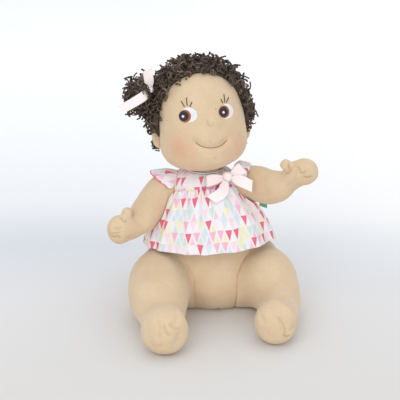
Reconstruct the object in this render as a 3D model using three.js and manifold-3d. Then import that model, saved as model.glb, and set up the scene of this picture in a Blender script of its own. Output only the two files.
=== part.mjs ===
// A soft doll that sits: a weighted, stuffed body of knitted skin fabric with sewn-on limbs, a
// needle-sculpted face, a curly pile wig with a side ponytail, and a gathered cotton dress.
//
// Millimetres, +Z up. The doll faces -Y and sits on z = 0, with the origin at the middle of its
// seat. Left and right are the doll's own: its left hand is on the +X side.

import * as THREE from 'three';
import { mergeVertices } from 'three/addons/utils/BufferGeometryUtils.js';
import Module from 'manifold-3d';

const wasm = await Module();
wasm.setup();

const { Vector3, Matrix4, CatmullRomCurve3 } = THREE;
const LEFT = 1;
const RIGHT = -1;
const degrees = THREE.MathUtils.degToRad;

// Driving dimensions

// Gaps and cloth
const SEAM_GAP = 0.35;
const JOINT_GAP = 0.9;
const FLOOR_CUT = 0.5;
const CLOTH = 0.8;
const DRESS_EASE = 1.2;
const OVERRUN = 6;

// Body
const TORSO_HEIGHT = 125;
const BELLY_HALF_WIDTH = 50;
const BELLY_HALF_DEPTH = 44;
const TORSO_LEAN = 9;
const POCKET_HALF_WIDTH = 13;
const POCKET_HALF_DEPTH = 24;
const POCKET_HEIGHT = 40;
const SEAT_PANEL_THICKNESS = 3;
const NECK_RADIUS = 12;

// Legs
const HIP_HALF_SPAN = 39;
const HIP_ROOT_HALF_WIDTH = 22;
const THIGH_RADIUS = 28;
const KNEE_SPREAD = 10;
const RIGHT_LEG_REACH = 120;
const LEFT_LEG_REACH = 101;
const HIP_SWING = 70;

// Arms
const SHOULDER_HALF_SPAN = 32;
const SHOULDER_HEIGHT = 105.5;
const SHOULDER_TILT = 4.5;
const ARM_ROOT_RADIUS = 14.5;
const ARM_LENGTH = 82;
const ARM_HALF_BREADTH = 16;
const ARM_HALF_DEPTH = 14;
const THUMB_RADIUS = 4.6;
const THUMB_LENGTH = 12;

// Head
const HEAD_HALF_WIDTH = 38.5;
const HEAD_HALF_DEPTH = 38;
const CROWN_RISE = 63;
const CHIN_DROP = 24;
const HEAD_STAND = 1.4;
const HEAD_SIDE_SHIFT = -1;
const HEAD_FORWARD_SHIFT = -5;
const HEAD_ROLL = -6.5;
const HEAD_YAW = 8;
const NOSE_RISE = 3.2;
const NOSE_RADIUS = 5;
const MUZZLE_RISE = 2.2;
const MUZZLE_RADIUS = 15;
const EAR_HEIGHT = 22;
const EAR_REACH = 8;
const EAR_THICKNESS = 5;

// Face pieces
const EYE_HALF_WIDTH = 8.1;
const EYE_HALF_HEIGHT = 5.6;
const IRIS_RADIUS = 5.7;
const PUPIL_RADIUS = 4.5;
const GLINT_RADIUS = 1.6;
const PATCH_THICKNESS = 0.5;
const PATCH_GAP = 0.12;
const THREAD_RADIUS = 0.45;

// Hair
const HAIR_THICKNESS = 12;
const BACKING_GAP = 1.2;
const CURL_LUMP = 1.8;
const PONYTAIL_LENGTH = 27;
const PONYTAIL_RADIUS = 19.5;
const BAND_WIDTH = 4;
const BAND_THICKNESS = 0.8;
const HAIR_KNOT_RADIUS = 3;
const HAIR_RIBBON_LENGTH = 27;
const HAIR_RIBBON_UPPER_LENGTH = 18;
const RIBBON_WIDTH = 8;
const RIBBON_THICKNESS = 0.8;

// Dress
const WAIST_HEIGHT = 98;
const WAIST_RISE = 10;
const NECKLINE_DROP = 2;
const HEM_HEIGHT = 57;
const HEM_RISE = 4.5;
const HEM_HALF_WIDTH = 59;
const HEM_HALF_DEPTH = 55;
const HEM_FORWARD_SHIFT = -3;
const FOLD_DEPTH = 2;
const FOLD_COUNT = 15;
const BINDING_HALF_WIDTH = 0.9;
const SLEEVE_ROOT_SPAN = 26.8;
const SLEEVE_ROOT_SPREAD = 4;
const RIGHT_SLEEVE_REACH = 25;
const LEFT_SLEEVE_REACH = 15;
const SLEEVE_HALF_ANGLE = 70;
const CLOSURE_WIDTH = 12;
const CLOSURE_LENGTH = 24;
const CLOSURE_THICKNESS = 1.2;
const CLOSURE_STANDOFF = 0.7;
const LABEL_LENGTH = 7;
const LABEL_WIDTH = 6;
const LABEL_THICKNESS = 1.2;
const LABEL_HEIGHT = 85;

// Bow on the chest
const BOW_KNOT_WIDTH = 8;
const BOW_KNOT_HEIGHT = 8.5;
const BOW_KNOT_DEPTH = 6;
const BOW_DROP = 5;
const BOW_LOOP_LENGTH = 21;
const BOW_TAIL_LENGTH = 28;
const BOW_LOOP_OPENING = 3.6;

// Mesh helpers
const MERGE_TOLERANCE = 1e-5;
const QUARTER_TURN = 90;
const HALF_TURN = 180;
const FULL_TURN = 360;

// Closed surface from rows of points. Each row is a loop. The rows close at both ends on a single
// point, or on each other when the surface is a ring.
function skinOver(rows, ring = false) {
  const positions = [];
  const indices = [];
  const count = rows[0].length;
  rows.forEach((row) => row.forEach((p) => positions.push(p.x, p.y, p.z)));
  const last = ring ? rows.length : rows.length - 1;
  for (let r = 0; r < last; r += 1) {
    const below = r * count;
    const above = ((r + 1) % rows.length) * count;
    for (let i = 0; i < count; i += 1) {
      const j = (i + 1) % count;
      indices.push(below + i, below + j, above + j);
      indices.push(below + i, above + j, above + i);
    }
  }
  if (!ring) {
    capRow(rows[0], 0, false, positions, indices);
    capRow(rows[rows.length - 1], (rows.length - 1) * count, true, positions, indices);
  }
  return facingOut(positions, indices);
}

function capRow(row, start, up, positions, indices) {
  const centre = row.reduce((sum, p) => sum.add(p), new Vector3()).divideScalar(row.length);
  const tip = positions.length / 3;
  positions.push(centre.x, centre.y, centre.z);
  for (let i = 0; i < row.length; i += 1) {
    const j = (i + 1) % row.length;
    indices.push(tip, start + (up ? i : j), start + (up ? j : i));
  }
}

// Turns every triangle round when the volume they enclose comes out negative.
function facingOut(positions, indices) {
  let volume = 0;
  const corner = (k) => new Vector3().fromArray(positions, indices[k] * 3);
  for (let k = 0; k < indices.length; k += 3) {
    volume += corner(k).dot(corner(k + 1).cross(corner(k + 2)));
  }
  const turned = [...indices];
  if (volume < 0) {
    for (let k = 0; k < indices.length; k += 3) {
      turned[k + 1] = indices[k + 2];
      turned[k + 2] = indices[k + 1];
    }
  }
  const geometry = new THREE.BufferGeometry();
  geometry.setAttribute('position', new THREE.Float32BufferAttribute(positions, 3));
  geometry.setIndex(turned);
  return geometry;
}

function solidOf(geometry) {
  const bare = geometry.clone();
  bare.deleteAttribute('normal');
  bare.deleteAttribute('uv');
  const merged = mergeVertices(bare, MERGE_TOLERANCE);
  const mesh = new wasm.Mesh({
    numProp: 3,
    vertProperties: new Float32Array(merged.attributes.position.array),
    triVerts: new Uint32Array(merged.index.array),
  });
  return new wasm.Manifold(mesh);
}

function geometryOf(solid) {
  const mesh = solid.getMesh();
  const geometry = new THREE.BufferGeometry();
  geometry.setAttribute('position', new THREE.Float32BufferAttribute(mesh.vertProperties, 3));
  geometry.setIndex([...mesh.triVerts]);
  return geometry;
}

// The largest connected body of a cut solid, without the crumbs that a cut can leave.
function mainBody(solid) {
  const bodies = solid.decompose();
  return bodies.reduce((best, body) => (body.volume() > best.volume() ? body : best));
}

function cutBy(solid, ...tools) {
  return mainBody(tools.reduce((rest, tool) => rest.subtract(tool), solid));
}

// Smooth value through rows of [place, value, value ...] with rising places.
function smoothTable(rows) {
  return (place) => {
    const last = rows.length - 1;
    const t = Math.min(Math.max(place, rows[0][0]), rows[last][0]);
    let k = 0;
    while (k < last - 1 && rows[k + 1][0] < t) k += 1;
    const [a, b] = [rows[k], rows[k + 1]];
    const before = rows[Math.max(k - 1, 0)];
    const after = rows[Math.min(k + 2, last)];
    const span = b[0] - a[0];
    const s = (t - a[0]) / span;
    return a.slice(1).map((value, i) => {
      const slopeA = ((b[i + 1] - before[i + 1]) / (b[0] - before[0])) * span;
      const slopeB = ((after[i + 1] - value) / (after[0] - a[0])) * span;
      const rise = b[i + 1] - value;
      return value + s * (slopeA + s * (3 * rise - 2 * slopeA - slopeB + s * (slopeA + slopeB - 2 * rise)));
    });
  };
}

function ellipseRow(centre, halfWidth, halfDepth, segments, heightAt = null) {
  return Array.from({ length: segments }, (_, i) => {
    const turn = (i / segments) * 2 * Math.PI;
    const x = centre.x + halfWidth * Math.sin(turn);
    const y = centre.y - halfDepth * Math.cos(turn);
    return new Vector3(x, y, heightAt ? heightAt(turn, x, y) : centre.z);
  });
}

function ellipsoid(centre, halfX, halfY, halfZ, segments = 24) {
  const geometry = new THREE.SphereGeometry(1, segments, Math.round(segments / 2) + 2);
  geometry.rotateZ(Math.PI / 2);
  geometry.scale(halfX, halfY, halfZ);
  geometry.translate(centre.x, centre.y, centre.z);
  return solidOf(geometry);
}

// Everything under the floor, which flattens what rests on it.
const underFloor = (() => {
  const side = 4 * (HEM_HALF_WIDTH + RIGHT_LEG_REACH);
  const slab = new THREE.BoxGeometry(side, side, side);
  slab.translate(0, 0, -side / 2);
  return solidOf(slab);
})();

// Torso: a pear-shaped stuffed body that leans to the doll's right
const torsoSegments = 40;
const torsoProfileShares = [
  [-0.02, 0.77, 0.72],
  [0.0, 0.8, 0.75],
  [0.063, 0.92, 0.9],
  [0.16, 0.99, 0.985],
  [0.254, 1.0, 1.0],
  [0.365, 0.97, 0.985],
  [0.476, 0.9, 0.95],
  [0.595, 0.78, 0.9],
  [0.714, 0.66, 0.83],
  [0.833, 0.6, 0.75],
  [0.889, 0.56, 0.69],
  [0.929, 0.5, 0.61],
  [0.96, 0.42, 0.51],
  [0.984, 0.33, 0.39],
  [1.0, 0.24, 0.27],
];
const torsoProfile = smoothTable(torsoProfileShares);

function torsoSection(height) {
  const share = height / TORSO_HEIGHT;
  const [wide, deep] = torsoProfile(share);
  const centre = new Vector3(-TORSO_LEAN * share, 0, height);
  return { centre, halfWidth: wide * BELLY_HALF_WIDTH, halfDepth: deep * BELLY_HALF_DEPTH };
}

// Point on the torso at an angle from the front, stood off by some distance.
function torsoPoint(turn, height, offset) {
  const section = torsoSection(height);
  return new Vector3(
    section.centre.x + (section.halfWidth + offset) * Math.sin(turn),
    section.centre.y - (section.halfDepth + offset) * Math.cos(turn),
    height,
  );
}

function torsoRow(height, offset) {
  const section = torsoSection(height);
  const { centre, halfWidth, halfDepth } = section;
  return ellipseRow(centre, halfWidth + offset, halfDepth + offset, torsoSegments);
}

function torsoBody(offset) {
  const rows = torsoProfileShares.map(([share]) => torsoRow(share * TORSO_HEIGHT, offset));
  return solidOf(skinOver(rows));
}

// Seat pocket, its pellet bag and the panel that closes it
const pocketShapeShares = [
  [0.7, 1],
  [0.88, 0.86],
  [1, 0.5],
];

// The pocket's form from a flat bottom up, drawn in all round by the inset.
function pocketBody(bottom, inset) {
  const rowAt = (height, wide) => {
    const halfWidth = wide * POCKET_HALF_WIDTH - inset;
    return ellipseRow(new Vector3(0, 0, height), halfWidth, wide * POCKET_HALF_DEPTH - inset, 20);
  };
  const rows = pocketShapeShares.map(([rise, wide]) => rowAt(rise * POCKET_HEIGHT - inset, wide));
  return solidOf(skinOver([rowAt(bottom, 1), ...rows]));
}

const seatPocket = pocketBody(-OVERRUN, 0);
const pelletBag = pocketBody(SEAT_PANEL_THICKNESS + SEAM_GAP, SEAM_GAP);
const seatPanel = (() => {
  const rows = [0, SEAT_PANEL_THICKNESS].map((height) => {
    const centre = new Vector3(0, 0, height);
    const halfWidth = POCKET_HALF_WIDTH - SEAM_GAP;
    const halfDepth = POCKET_HALF_DEPTH - SEAM_GAP;
    return ellipseRow(centre, halfWidth, halfDepth, 20);
  });
  return solidOf(skinOver(rows));
})();

// Limbs: a smooth tube of oval sections through stations of place and half sizes
function limbRows(stations, upHint, steps, segments, extra) {
  const path = new CatmullRomCurve3(stations.map((s) => s.place));
  const sizes = new CatmullRomCurve3(stations.map((s) => new Vector3(s.broad, s.thin, 0)));
  return Array.from({ length: steps + 1 }, (_, k) => {
    const t = k / steps;
    const place = path.getPoint(t);
    const size = sizes.getPoint(t);
    const along = path.getTangent(t);
    const up = upHint.clone().addScaledVector(along, -upHint.dot(along)).normalize();
    const side = new Vector3().crossVectors(along, up);
    const broad = Math.max(size.x, SEAM_GAP) + extra;
    const thin = Math.max(size.y, SEAM_GAP) + extra;
    return Array.from({ length: segments }, (__, i) => {
      const turn = (i / segments) * 2 * Math.PI;
      return place
        .clone()
        .addScaledVector(up, broad * Math.cos(turn))
        .addScaledVector(side, thin * Math.sin(turn));
    });
  });
}

function limbBody(stations, upHint, steps, segments, extra = 0) {
  return solidOf(skinOver(limbRows(stations, upHint, steps, segments, extra)));
}

const upward = new Vector3(0, 0, 1);

// Legs: each lies forward on the floor from a round root in the hip and ends in a ball of a foot
const hipHeight = THIGH_RADIUS - FLOOR_CUT;
const rightLegShares = [
  { forward: 0.03, out: 0.0, round: 0.86 },
  { forward: 0.14, out: 0.4, round: 0.95 },
  { forward: 0.27, out: 0.85, round: 1.0 },
  { forward: 0.42, out: 1.0, round: 0.99 },
  { forward: 0.57, out: 0.95, round: 0.92 },
  { forward: 0.7, out: 0.75, round: 0.79 },
  { forward: 0.8, out: 0.58, round: 0.67 },
  { forward: 0.88, out: 0.47, round: 0.66 },
  { forward: 0.95, out: 0.4, round: 0.71 },
  { forward: 1.02, out: 0.36, round: 0.72 },
  { forward: 1.09, out: 0.34, round: 0.63 },
  { forward: 1.135, out: 0.33, round: 0.47 },
  { forward: 1.16, out: 0.33, round: 0.25 },
  { forward: 1.165, out: 0.33, round: 0.05 },
];
const leftLegShares = [
  { forward: 0.03, out: 0.0, round: 0.86 },
  { forward: 0.14, out: 0.3, round: 0.95 },
  { forward: 0.27, out: 0.6, round: 1.0 },
  { forward: 0.37, out: 1.05, round: 0.93 },
  { forward: 0.48, out: 1.5, round: 0.78 },
  { forward: 0.59, out: 1.7, round: 0.68 },
  { forward: 0.7, out: 1.66, round: 0.63 },
  { forward: 0.8, out: 1.52, round: 0.61 },
  { forward: 0.88, out: 1.4, round: 0.62 },
  { forward: 0.95, out: 1.3, round: 0.65 },
  { forward: 1.02, out: 1.25, round: 0.65 },
  { forward: 1.09, out: 1.22, round: 0.57 },
  { forward: 1.14, out: 1.2, round: 0.42 },
  { forward: 1.165, out: 1.2, round: 0.22 },
  { forward: 1.17, out: 1.2, round: 0.05 },
];
const legShares = new Map([[LEFT, leftLegShares], [RIGHT, rightLegShares]]);
const legReach = new Map([[LEFT, LEFT_LEG_REACH], [RIGHT, RIGHT_LEG_REACH]]);

function hipPlace(side) {
  return new Vector3(side * HIP_HALF_SPAN, 0, hipHeight);
}

function legStations(side) {
  const reach = legReach.get(side);
  const toes = legShares.get(side).filter(({ forward }) => forward > 1);
  const footRadius = toes[0].round * THIGH_RADIUS;
  return legShares.get(side).map(({ forward, out, round }) => {
    const radius = round * THIGH_RADIUS;
    const resting = (forward > 1 ? footRadius : radius) - FLOOR_CUT;
    return {
      place: new Vector3(side * (HIP_HALF_SPAN + out * KNEE_SPREAD), -forward * reach, resting),
      broad: radius,
      thin: radius,
    };
  });
}

function legRoot(side, extra) {
  const round = THIGH_RADIUS + extra;
  return ellipsoid(hipPlace(side), HIP_ROOT_HALF_WIDTH + extra, round, round, 18);
}

function legTube(side, extra) {
  return limbBody(legStations(side), upward, 16, 18, extra);
}

// The space that the thigh sweeps as the leg swings down, on the torso's side of it. The thigh is
// round, so its underside is further from the hip's axis than its middle is, and the sweep starts
// some degrees above the leg's axis at rest.
const SWEEP_LEAD = 12;
const sweepRoundShare = 0.75;

function legSweep(side) {
  const hip = hipPlace(side);
  const near = legStations(side).filter(({ place }) => -place.y < BELLY_HALF_DEPTH + OVERRUN);
  const outer = side * (BELLY_HALF_WIDTH + OVERRUN);
  const inner = ({ place, thin }) => place.x - side * (thin + JOINT_GAP);
  const profile = near.map((station) => ({
    away: Math.hypot(hip.y - station.place.y, sweepRoundShare * station.thin),
    x: inner(station),
  }));
  profile.unshift({ away: hip.y - near[0].place.y, x: inner(near[0]) });
  const farEdge = profile[profile.length - 1].away + OVERRUN;
  profile.push({ away: farEdge, x: profile[profile.length - 1].x });
  const outline = [...profile, { away: farEdge, x: outer }, { away: profile[0].away, x: outer }];
  const steps = 5;
  const rows = Array.from({ length: steps + 1 }, (_, k) => {
    const turn = degrees(((HIP_SWING + SWEEP_LEAD) * k) / steps - SWEEP_LEAD);
    return outline.map(({ away, x }) => {
      const y = hip.y - away * Math.cos(turn);
      return new Vector3(x, y, hip.z - away * Math.sin(turn));
    });
  });
  return solidOf(skinOver(rows));
}

// Gusset: the part of the belly's lower front that is sewn to the leg, outside a slanted seam.
// Each place round the hip's axis has a turn below the level, here as a share of a quarter turn.
const GUSSET_INSET = 29;
const hipSeamShares = smoothTable([
  [-0.55, 0.86],
  [-0.42, 0.74],
  [-0.3, 0.65],
  [-0.15, 0.56],
  [0, 0.49],
  [0.25, 0.41],
  [0.52, 0.365],
]);
const gussetTopShare = -0.55;
const gussetFootShare = 0.52;

// The wedge of space outside the seam, from the gusset's top down to a turn.
function gussetSpace(side, gap, lowestShare) {
  const hip = hipPlace(side);
  const steps = 16;
  const far = BELLY_HALF_DEPTH + 2 * OVERRUN;
  const outer = BELLY_HALF_WIDTH + OVERRUN;
  const top = gussetTopShare - degrees(gap);
  const rows = Array.from({ length: steps + 1 }, (_, k) => {
    const share = top + (k / steps) * (lowestShare - top);
    const turn = degrees(share * QUARTER_TURN);
    const [seam] = hipSeamShares(share);
    const inner = seam * BELLY_HALF_WIDTH - gap;
    const near = GUSSET_INSET - gap;
    const outline = [[near, inner], [far, inner], [far, outer], [near, outer]];
    return outline.map(([away, x]) => {
      const y = hip.y - away * Math.cos(turn);
      return new Vector3(side * x, y, hip.z - away * Math.sin(turn));
    });
  });
  return solidOf(skinOver(rows));
}

const gussets = new Map(
  [LEFT, RIGHT].map((side) => [side, torsoBody(0).intersect(gussetSpace(side, 0, gussetFootShare))]),
);

function swungDown(solid, side) {
  const hip = hipPlace(side);
  return solid
    .translate([-hip.x, -hip.y, -hip.z])
    .rotate([HIP_SWING, 0, 0])
    .translate([hip.x, hip.y, hip.z]);
}

const legTools = [LEFT, RIGHT].flatMap((side) => {
  const tube = legTube(side, JOINT_GAP);
  const swing = gussetSpace(side, JOINT_GAP, gussetFootShare + HIP_SWING / QUARTER_TURN);
  return [legRoot(side, JOINT_GAP), tube, legSweep(side), swungDown(tube, side), swing];
});
const legs = new Map(
  [LEFT, RIGHT].map((side) => {
    const limb = legRoot(side, 0).add(legTube(side, 0)).add(gussets.get(side));
    return [side, mainBody(limb.subtract(underFloor))];
  }),
);

// Arms: stations are shares of the arm's length from the shoulder, the left one raised
function shoulderPlace(side) {
  const centre = torsoSection(SHOULDER_HEIGHT).centre;
  const tilt = degrees(SHOULDER_TILT);
  return new Vector3(
    centre.x + side * SHOULDER_HALF_SPAN * Math.cos(tilt),
    centre.y,
    centre.z + side * SHOULDER_HALF_SPAN * Math.sin(tilt),
  );
}

const leftArmShares = [
  { out: 0.0, forward: 0.0, up: 0.0, broad: 0.93, thin: 0.96 },
  { out: 0.09, forward: 0.01, up: 0.01, broad: 0.96, thin: 1.0 },
  { out: 0.19, forward: 0.06, up: 0.012, broad: 1.0, thin: 1.0 },
  { out: 0.29, forward: 0.13, up: 0.006, broad: 0.97, thin: 0.98 },
  { out: 0.4, forward: 0.22, up: 0.05, broad: 0.84, thin: 0.92 },
  { out: 0.5, forward: 0.3, up: 0.14, broad: 0.63, thin: 0.74 },
  { out: 0.58, forward: 0.36, up: 0.23, broad: 0.69, thin: 0.74 },
  { out: 0.65, forward: 0.4, up: 0.27, broad: 0.73, thin: 0.72 },
  { out: 0.72, forward: 0.43, up: 0.3, broad: 0.62, thin: 0.6 },
  { out: 0.765, forward: 0.45, up: 0.32, broad: 0.36, thin: 0.35 },
  { out: 0.78, forward: 0.455, up: 0.325, broad: 0.05, thin: 0.05 },
];
const rightArmShares = [
  { out: 0.0, forward: 0.0, up: 0.0, broad: 0.93, thin: 0.96 },
  { out: 0.08, forward: 0.02, up: -0.01, broad: 0.9, thin: 1.0 },
  { out: 0.16, forward: 0.1, up: -0.07, broad: 0.83, thin: 1.0 },
  { out: 0.24, forward: 0.22, up: -0.16, broad: 0.8, thin: 1.0 },
  { out: 0.32, forward: 0.34, up: -0.24, broad: 0.75, thin: 0.94 },
  { out: 0.4, forward: 0.43, up: -0.28, broad: 0.62, thin: 0.76 },
  { out: 0.475, forward: 0.5, up: -0.275, broad: 0.72, thin: 0.72 },
  { out: 0.54, forward: 0.55, up: -0.27, broad: 0.8, thin: 0.72 },
  { out: 0.6, forward: 0.58, up: -0.27, broad: 0.66, thin: 0.6 },
  { out: 0.635, forward: 0.6, up: -0.27, broad: 0.38, thin: 0.35 },
  { out: 0.645, forward: 0.605, up: -0.27, broad: 0.05, thin: 0.05 },
];
const armShares = new Map([[LEFT, leftArmShares], [RIGHT, rightArmShares]]);

function armStations(side) {
  const shoulder = shoulderPlace(side);
  return armShares.get(side).map(({ out, forward, up, broad, thin }) => ({
    place: shoulder
      .clone()
      .add(new Vector3(side * out, -forward, up).multiplyScalar(ARM_LENGTH)),
    broad: broad * ARM_HALF_BREADTH,
    thin: thin * ARM_HALF_DEPTH,
  }));
}

// Thumb: a short round stub that leaves the hand upwards and inwards
const thumbStationShares = [
  { rise: 0.0, round: 0.8 },
  { rise: 0.35, round: 0.95 },
  { rise: 0.7, round: 1.0 },
  { rise: 0.92, round: 0.75 },
  { rise: 1.0, round: 0.15 },
];
const thumbRootShare = 0.33;
const palmShare = 0.6;
const thumbAim = new Map([
  [LEFT, new Vector3(-0.75, -0.1, 0.65).normalize()],
  [RIGHT, new Vector3(0.12, 0.1, 1).normalize()],
]);

function thumbBody(side) {
  const stations = armStations(side);
  const palm = stations[Math.round(palmShare * (stations.length - 1))];
  const wide = palm.broad;
  const aim = thumbAim.get(side);
  const base = palm.place.clone().addScaledVector(aim, thumbRootShare * wide);
  const length = (1 - thumbRootShare) * wide + THUMB_LENGTH - THUMB_RADIUS;
  const rows = thumbStationShares.map(({ rise, round }) => ({
    place: base.clone().addScaledVector(aim, rise * length),
    broad: round * THUMB_RADIUS,
    thin: round * THUMB_RADIUS,
  }));
  return limbBody(rows, new Vector3(0, 1, 0), 8, 10);
}

function armRoot(side, extra) {
  const radius = ARM_ROOT_RADIUS + extra;
  return ellipsoid(shoulderPlace(side), radius, radius, radius, 16);
}

function armTube(side, extra) {
  return limbBody(armStations(side), upward, 16, 14, extra);
}

const armTools = [LEFT, RIGHT].flatMap((side) => [armRoot(side, JOINT_GAP), armTube(side, JOINT_GAP)]);
const arms = new Map(
  [LEFT, RIGHT].map((side) => {
    const limb = armRoot(side, 0).add(armTube(side, 0)).add(thumbBody(side));
    return [side, mainBody(limb)];
  }),
);

// Head: an egg whose widest level is at the cheeks, with a nose and a puffed muzzle
const cheekHeight = TORSO_HEIGHT + HEAD_STAND + CHIN_DROP;
const headTurn = new Matrix4()
  .makeTranslation(HEAD_SIDE_SHIFT - TORSO_LEAN, HEAD_FORWARD_SHIFT, cheekHeight)
  .multiply(new Matrix4().makeRotationY(degrees(HEAD_ROLL)))
  .multiply(new Matrix4().makeRotationZ(degrees(HEAD_YAW)));
const crownRoundness = 2.7;
const chinRoundness = 2.5;

// Direction from the head's middle, by turns from straight ahead and up from the cheek level.
function lookAlong(aside, up) {
  const level = Math.cos(degrees(up));
  const a = degrees(aside);
  return new Vector3(level * Math.sin(a), -level * Math.cos(a), Math.sin(degrees(up)));
}

const noseAim = lookAlong(9, 34.5);
const muzzleAim = lookAlong(4, 15);

function plainHeadDistance(direction) {
  const { x, y, z } = direction;
  const level = Math.hypot(x / HEAD_HALF_WIDTH, y / HEAD_HALF_DEPTH);
  const power = z > 0 ? crownRoundness : chinRoundness;
  const rise = Math.abs(z) / (z > 0 ? CROWN_RISE : CHIN_DROP);
  return (level ** power + rise ** power) ** (-1 / power);
}

function bump(direction, aim, radius, rise) {
  const away = (direction.angleTo(aim) * HEAD_HALF_DEPTH) / radius;
  return rise * Math.exp(-away * away);
}

// Point of the head's surface in its own frame, stood off by some distance.
function headPoint(direction, offset) {
  const unit = direction.clone().normalize();
  const nose = bump(unit, noseAim, NOSE_RADIUS, NOSE_RISE);
  const muzzle = bump(unit, muzzleAim, MUZZLE_RADIUS, MUZZLE_RISE);
  return unit.multiplyScalar(plainHeadDistance(unit) + nose + muzzle + offset);
}

const onHead = (point) => point.applyMatrix4(headTurn);

const headSegments = 32;
const headLevels = 20;
const faceCrowding = 0.35;

function headBody(offset) {
  const rows = Array.from({ length: headLevels - 1 }, (_, r) => {
    const up = (HALF_TURN * (r + 1)) / headLevels - QUARTER_TURN;
    return Array.from({ length: headSegments }, (__, i) => {
      const turn = (i / headSegments) * 2 * Math.PI;
      const aside = THREE.MathUtils.radToDeg(turn - faceCrowding * Math.sin(turn));
      return onHead(headPoint(lookAlong(aside, up), offset));
    });
  });
  return solidOf(skinOver(rows));
}

// Neck: a stuffed ball on the torso, under the middle of the head, that the head turns on
const neckPlace = onHead(new Vector3(0, 0, -CHIN_DROP));
const neckBall = (extra) => {
  const radius = NECK_RADIUS + extra;
  return ellipsoid(neckPlace, radius, radius, radius, 18);
};

const head = cutBy(headBody(0), neckBall(SEAM_GAP));
const torso = cutBy(torsoBody(0), underFloor, seatPocket, ...legTools, ...armTools, neckBall(SEAM_GAP));

// Ears: flat rounded flaps sewn to the sides, below the middle of the head
const earAims = new Map([[LEFT, lookAlong(104, 1)], [RIGHT, lookAlong(-97, 10)]]);

function earDisc(side, extra) {
  const foot = headPoint(earAims.get(side), 0);
  const disc = new THREE.SphereGeometry(1, 12, 8);
  disc.scale(EAR_REACH + extra, EAR_THICKNESS / 2 + extra, EAR_HEIGHT / 2 + extra);
  disc.translate(foot.x, foot.y, foot.z);
  disc.applyMatrix4(headTurn);
  return solidOf(disc);
}

const ears = new Map(
  [LEFT, RIGHT].map((side) => [side, cutBy(earDisc(side, 0), headBody(SEAM_GAP))]),
);

// Face patches: oval discs that follow the head's surface, laid one over another
const patchSegments = 18;

// Point of the head's surface a few millimetres from an aim, across and up.
function nearAim(aim, across, up, offset) {
  const east = new Vector3(0, 0, 1).cross(aim).normalize().negate();
  const north = new Vector3().crossVectors(east, aim).normalize();
  const seat = headPoint(aim, 0);
  if (north.z < 0) north.negate();
  if (east.x < 0) east.negate();
  const beside = seat.addScaledVector(east, across).addScaledVector(north, up);
  return onHead(headPoint(beside, offset));
}

function patch(aim, shiftAcross, shiftUp, halfWidth, halfHeight, level) {
  const low = SEAM_GAP + level * (PATCH_THICKNESS + PATCH_GAP);
  const layer = (share, offset) =>
    Array.from({ length: patchSegments }, (_, i) => {
      const turn = (i / patchSegments) * 2 * Math.PI;
      const across = shiftAcross + share * halfWidth * Math.cos(turn);
      return nearAim(aim, across, shiftUp + share * halfHeight * Math.sin(turn), offset);
    });
  const ringShares = level === 0 ? [0.02, 0.55, 1] : [0.02, 1];
  const under = ringShares.map((share) => layer(share, low));
  const over = ringShares.map((share) => layer(share, low + PATCH_THICKNESS)).reverse();
  return solidOf(skinOver([...under, ...over]));
}

const eyeAims = new Map([[LEFT, lookAlong(33.4, 41.1)], [RIGHT, lookAlong(-23.1, 43.9)]]);
const glanceShares = new Map([[LEFT, -0.25], [RIGHT, -0.3]]);
const pupilGlanceShare = 0.55;

// The brow slopes back, so heights along it are drawn in, and the iris sits a little low.
const browSlopeShare = 0.82;
const irisDropShare = -0.2;

function eyePieces(side) {
  const aim = eyeAims.get(side);
  const glance = glanceShares.get(side) * EYE_HALF_WIDTH;
  const pupilShift = glance + pupilGlanceShare * (PUPIL_RADIUS - IRIS_RADIUS);
  const drop = irisDropShare * EYE_HALF_HEIGHT;
  const round = (shift, radius, level) =>
    patch(aim, shift, drop, radius, browSlopeShare * radius, level);
  return {
    eye_white: patch(aim, 0, 0, EYE_HALF_WIDTH, EYE_HALF_HEIGHT, 0),
    iris: round(glance, IRIS_RADIUS, 1),
    pupil: round(pupilShift, PUPIL_RADIUS, 2),
    glint: round(pupilShift, GLINT_RADIUS, 3),
  };
}

// A stitch of thread that lies on the head's surface from point to point
function stitch(aim, points, steps) {
  const path = new CatmullRomCurve3(points.map(([across, up]) => new Vector3(across, up, 0)));
  const rows = Array.from({ length: steps + 1 }, (_, k) => {
    const here = path.getPoint(k / steps);
    const along = path.getTangent(k / steps);
    const sides = 6;
    return Array.from({ length: sides }, (__, i) => {
      const turn = (i / sides) * 2 * Math.PI;
      const aside = THREAD_RADIUS * Math.cos(turn);
      const lift = SEAM_GAP + THREAD_RADIUS * (1 + Math.sin(turn));
      return nearAim(aim, here.x - along.y * aside, here.y + along.x * aside, lift);
    });
  });
  return solidOf(skinOver(rows));
}

const lashShares = new Map([
  [LEFT, [[-0.3, 1.1, -0.5, 1.75], [-0.06, 1.08, -0.02, 2.2], [0.12, 1.05, 0.5, 1.8]]],
  [RIGHT, [[-0.27, 1.05, -0.46, 1.9], [0.05, 1.08, 0.13, 2.2], [0.29, 1.05, 0.56, 1.65]]],
]);

function lashes(side) {
  return lashShares.get(side).map(([footAcross, footUp, tipAcross, tipUp]) => {
    const foot = [footAcross * EYE_HALF_WIDTH, footUp * EYE_HALF_HEIGHT];
    const tip = [tipAcross * EYE_HALF_WIDTH, tipUp * EYE_HALF_HEIGHT];
    return stitch(eyeAims.get(side), [foot, tip], 2);
  });
}

const smileShares = [[-0.88, 0.08], [-0.68, -0.2], [-0.04, -0.43], [0.48, -0.34], [0.88, -0.09]];
const smile = stitch(
  muzzleAim,
  smileShares.map(([across, up]) => [across * MUZZLE_RADIUS, up * MUZZLE_RADIUS]),
  12,
);

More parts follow.
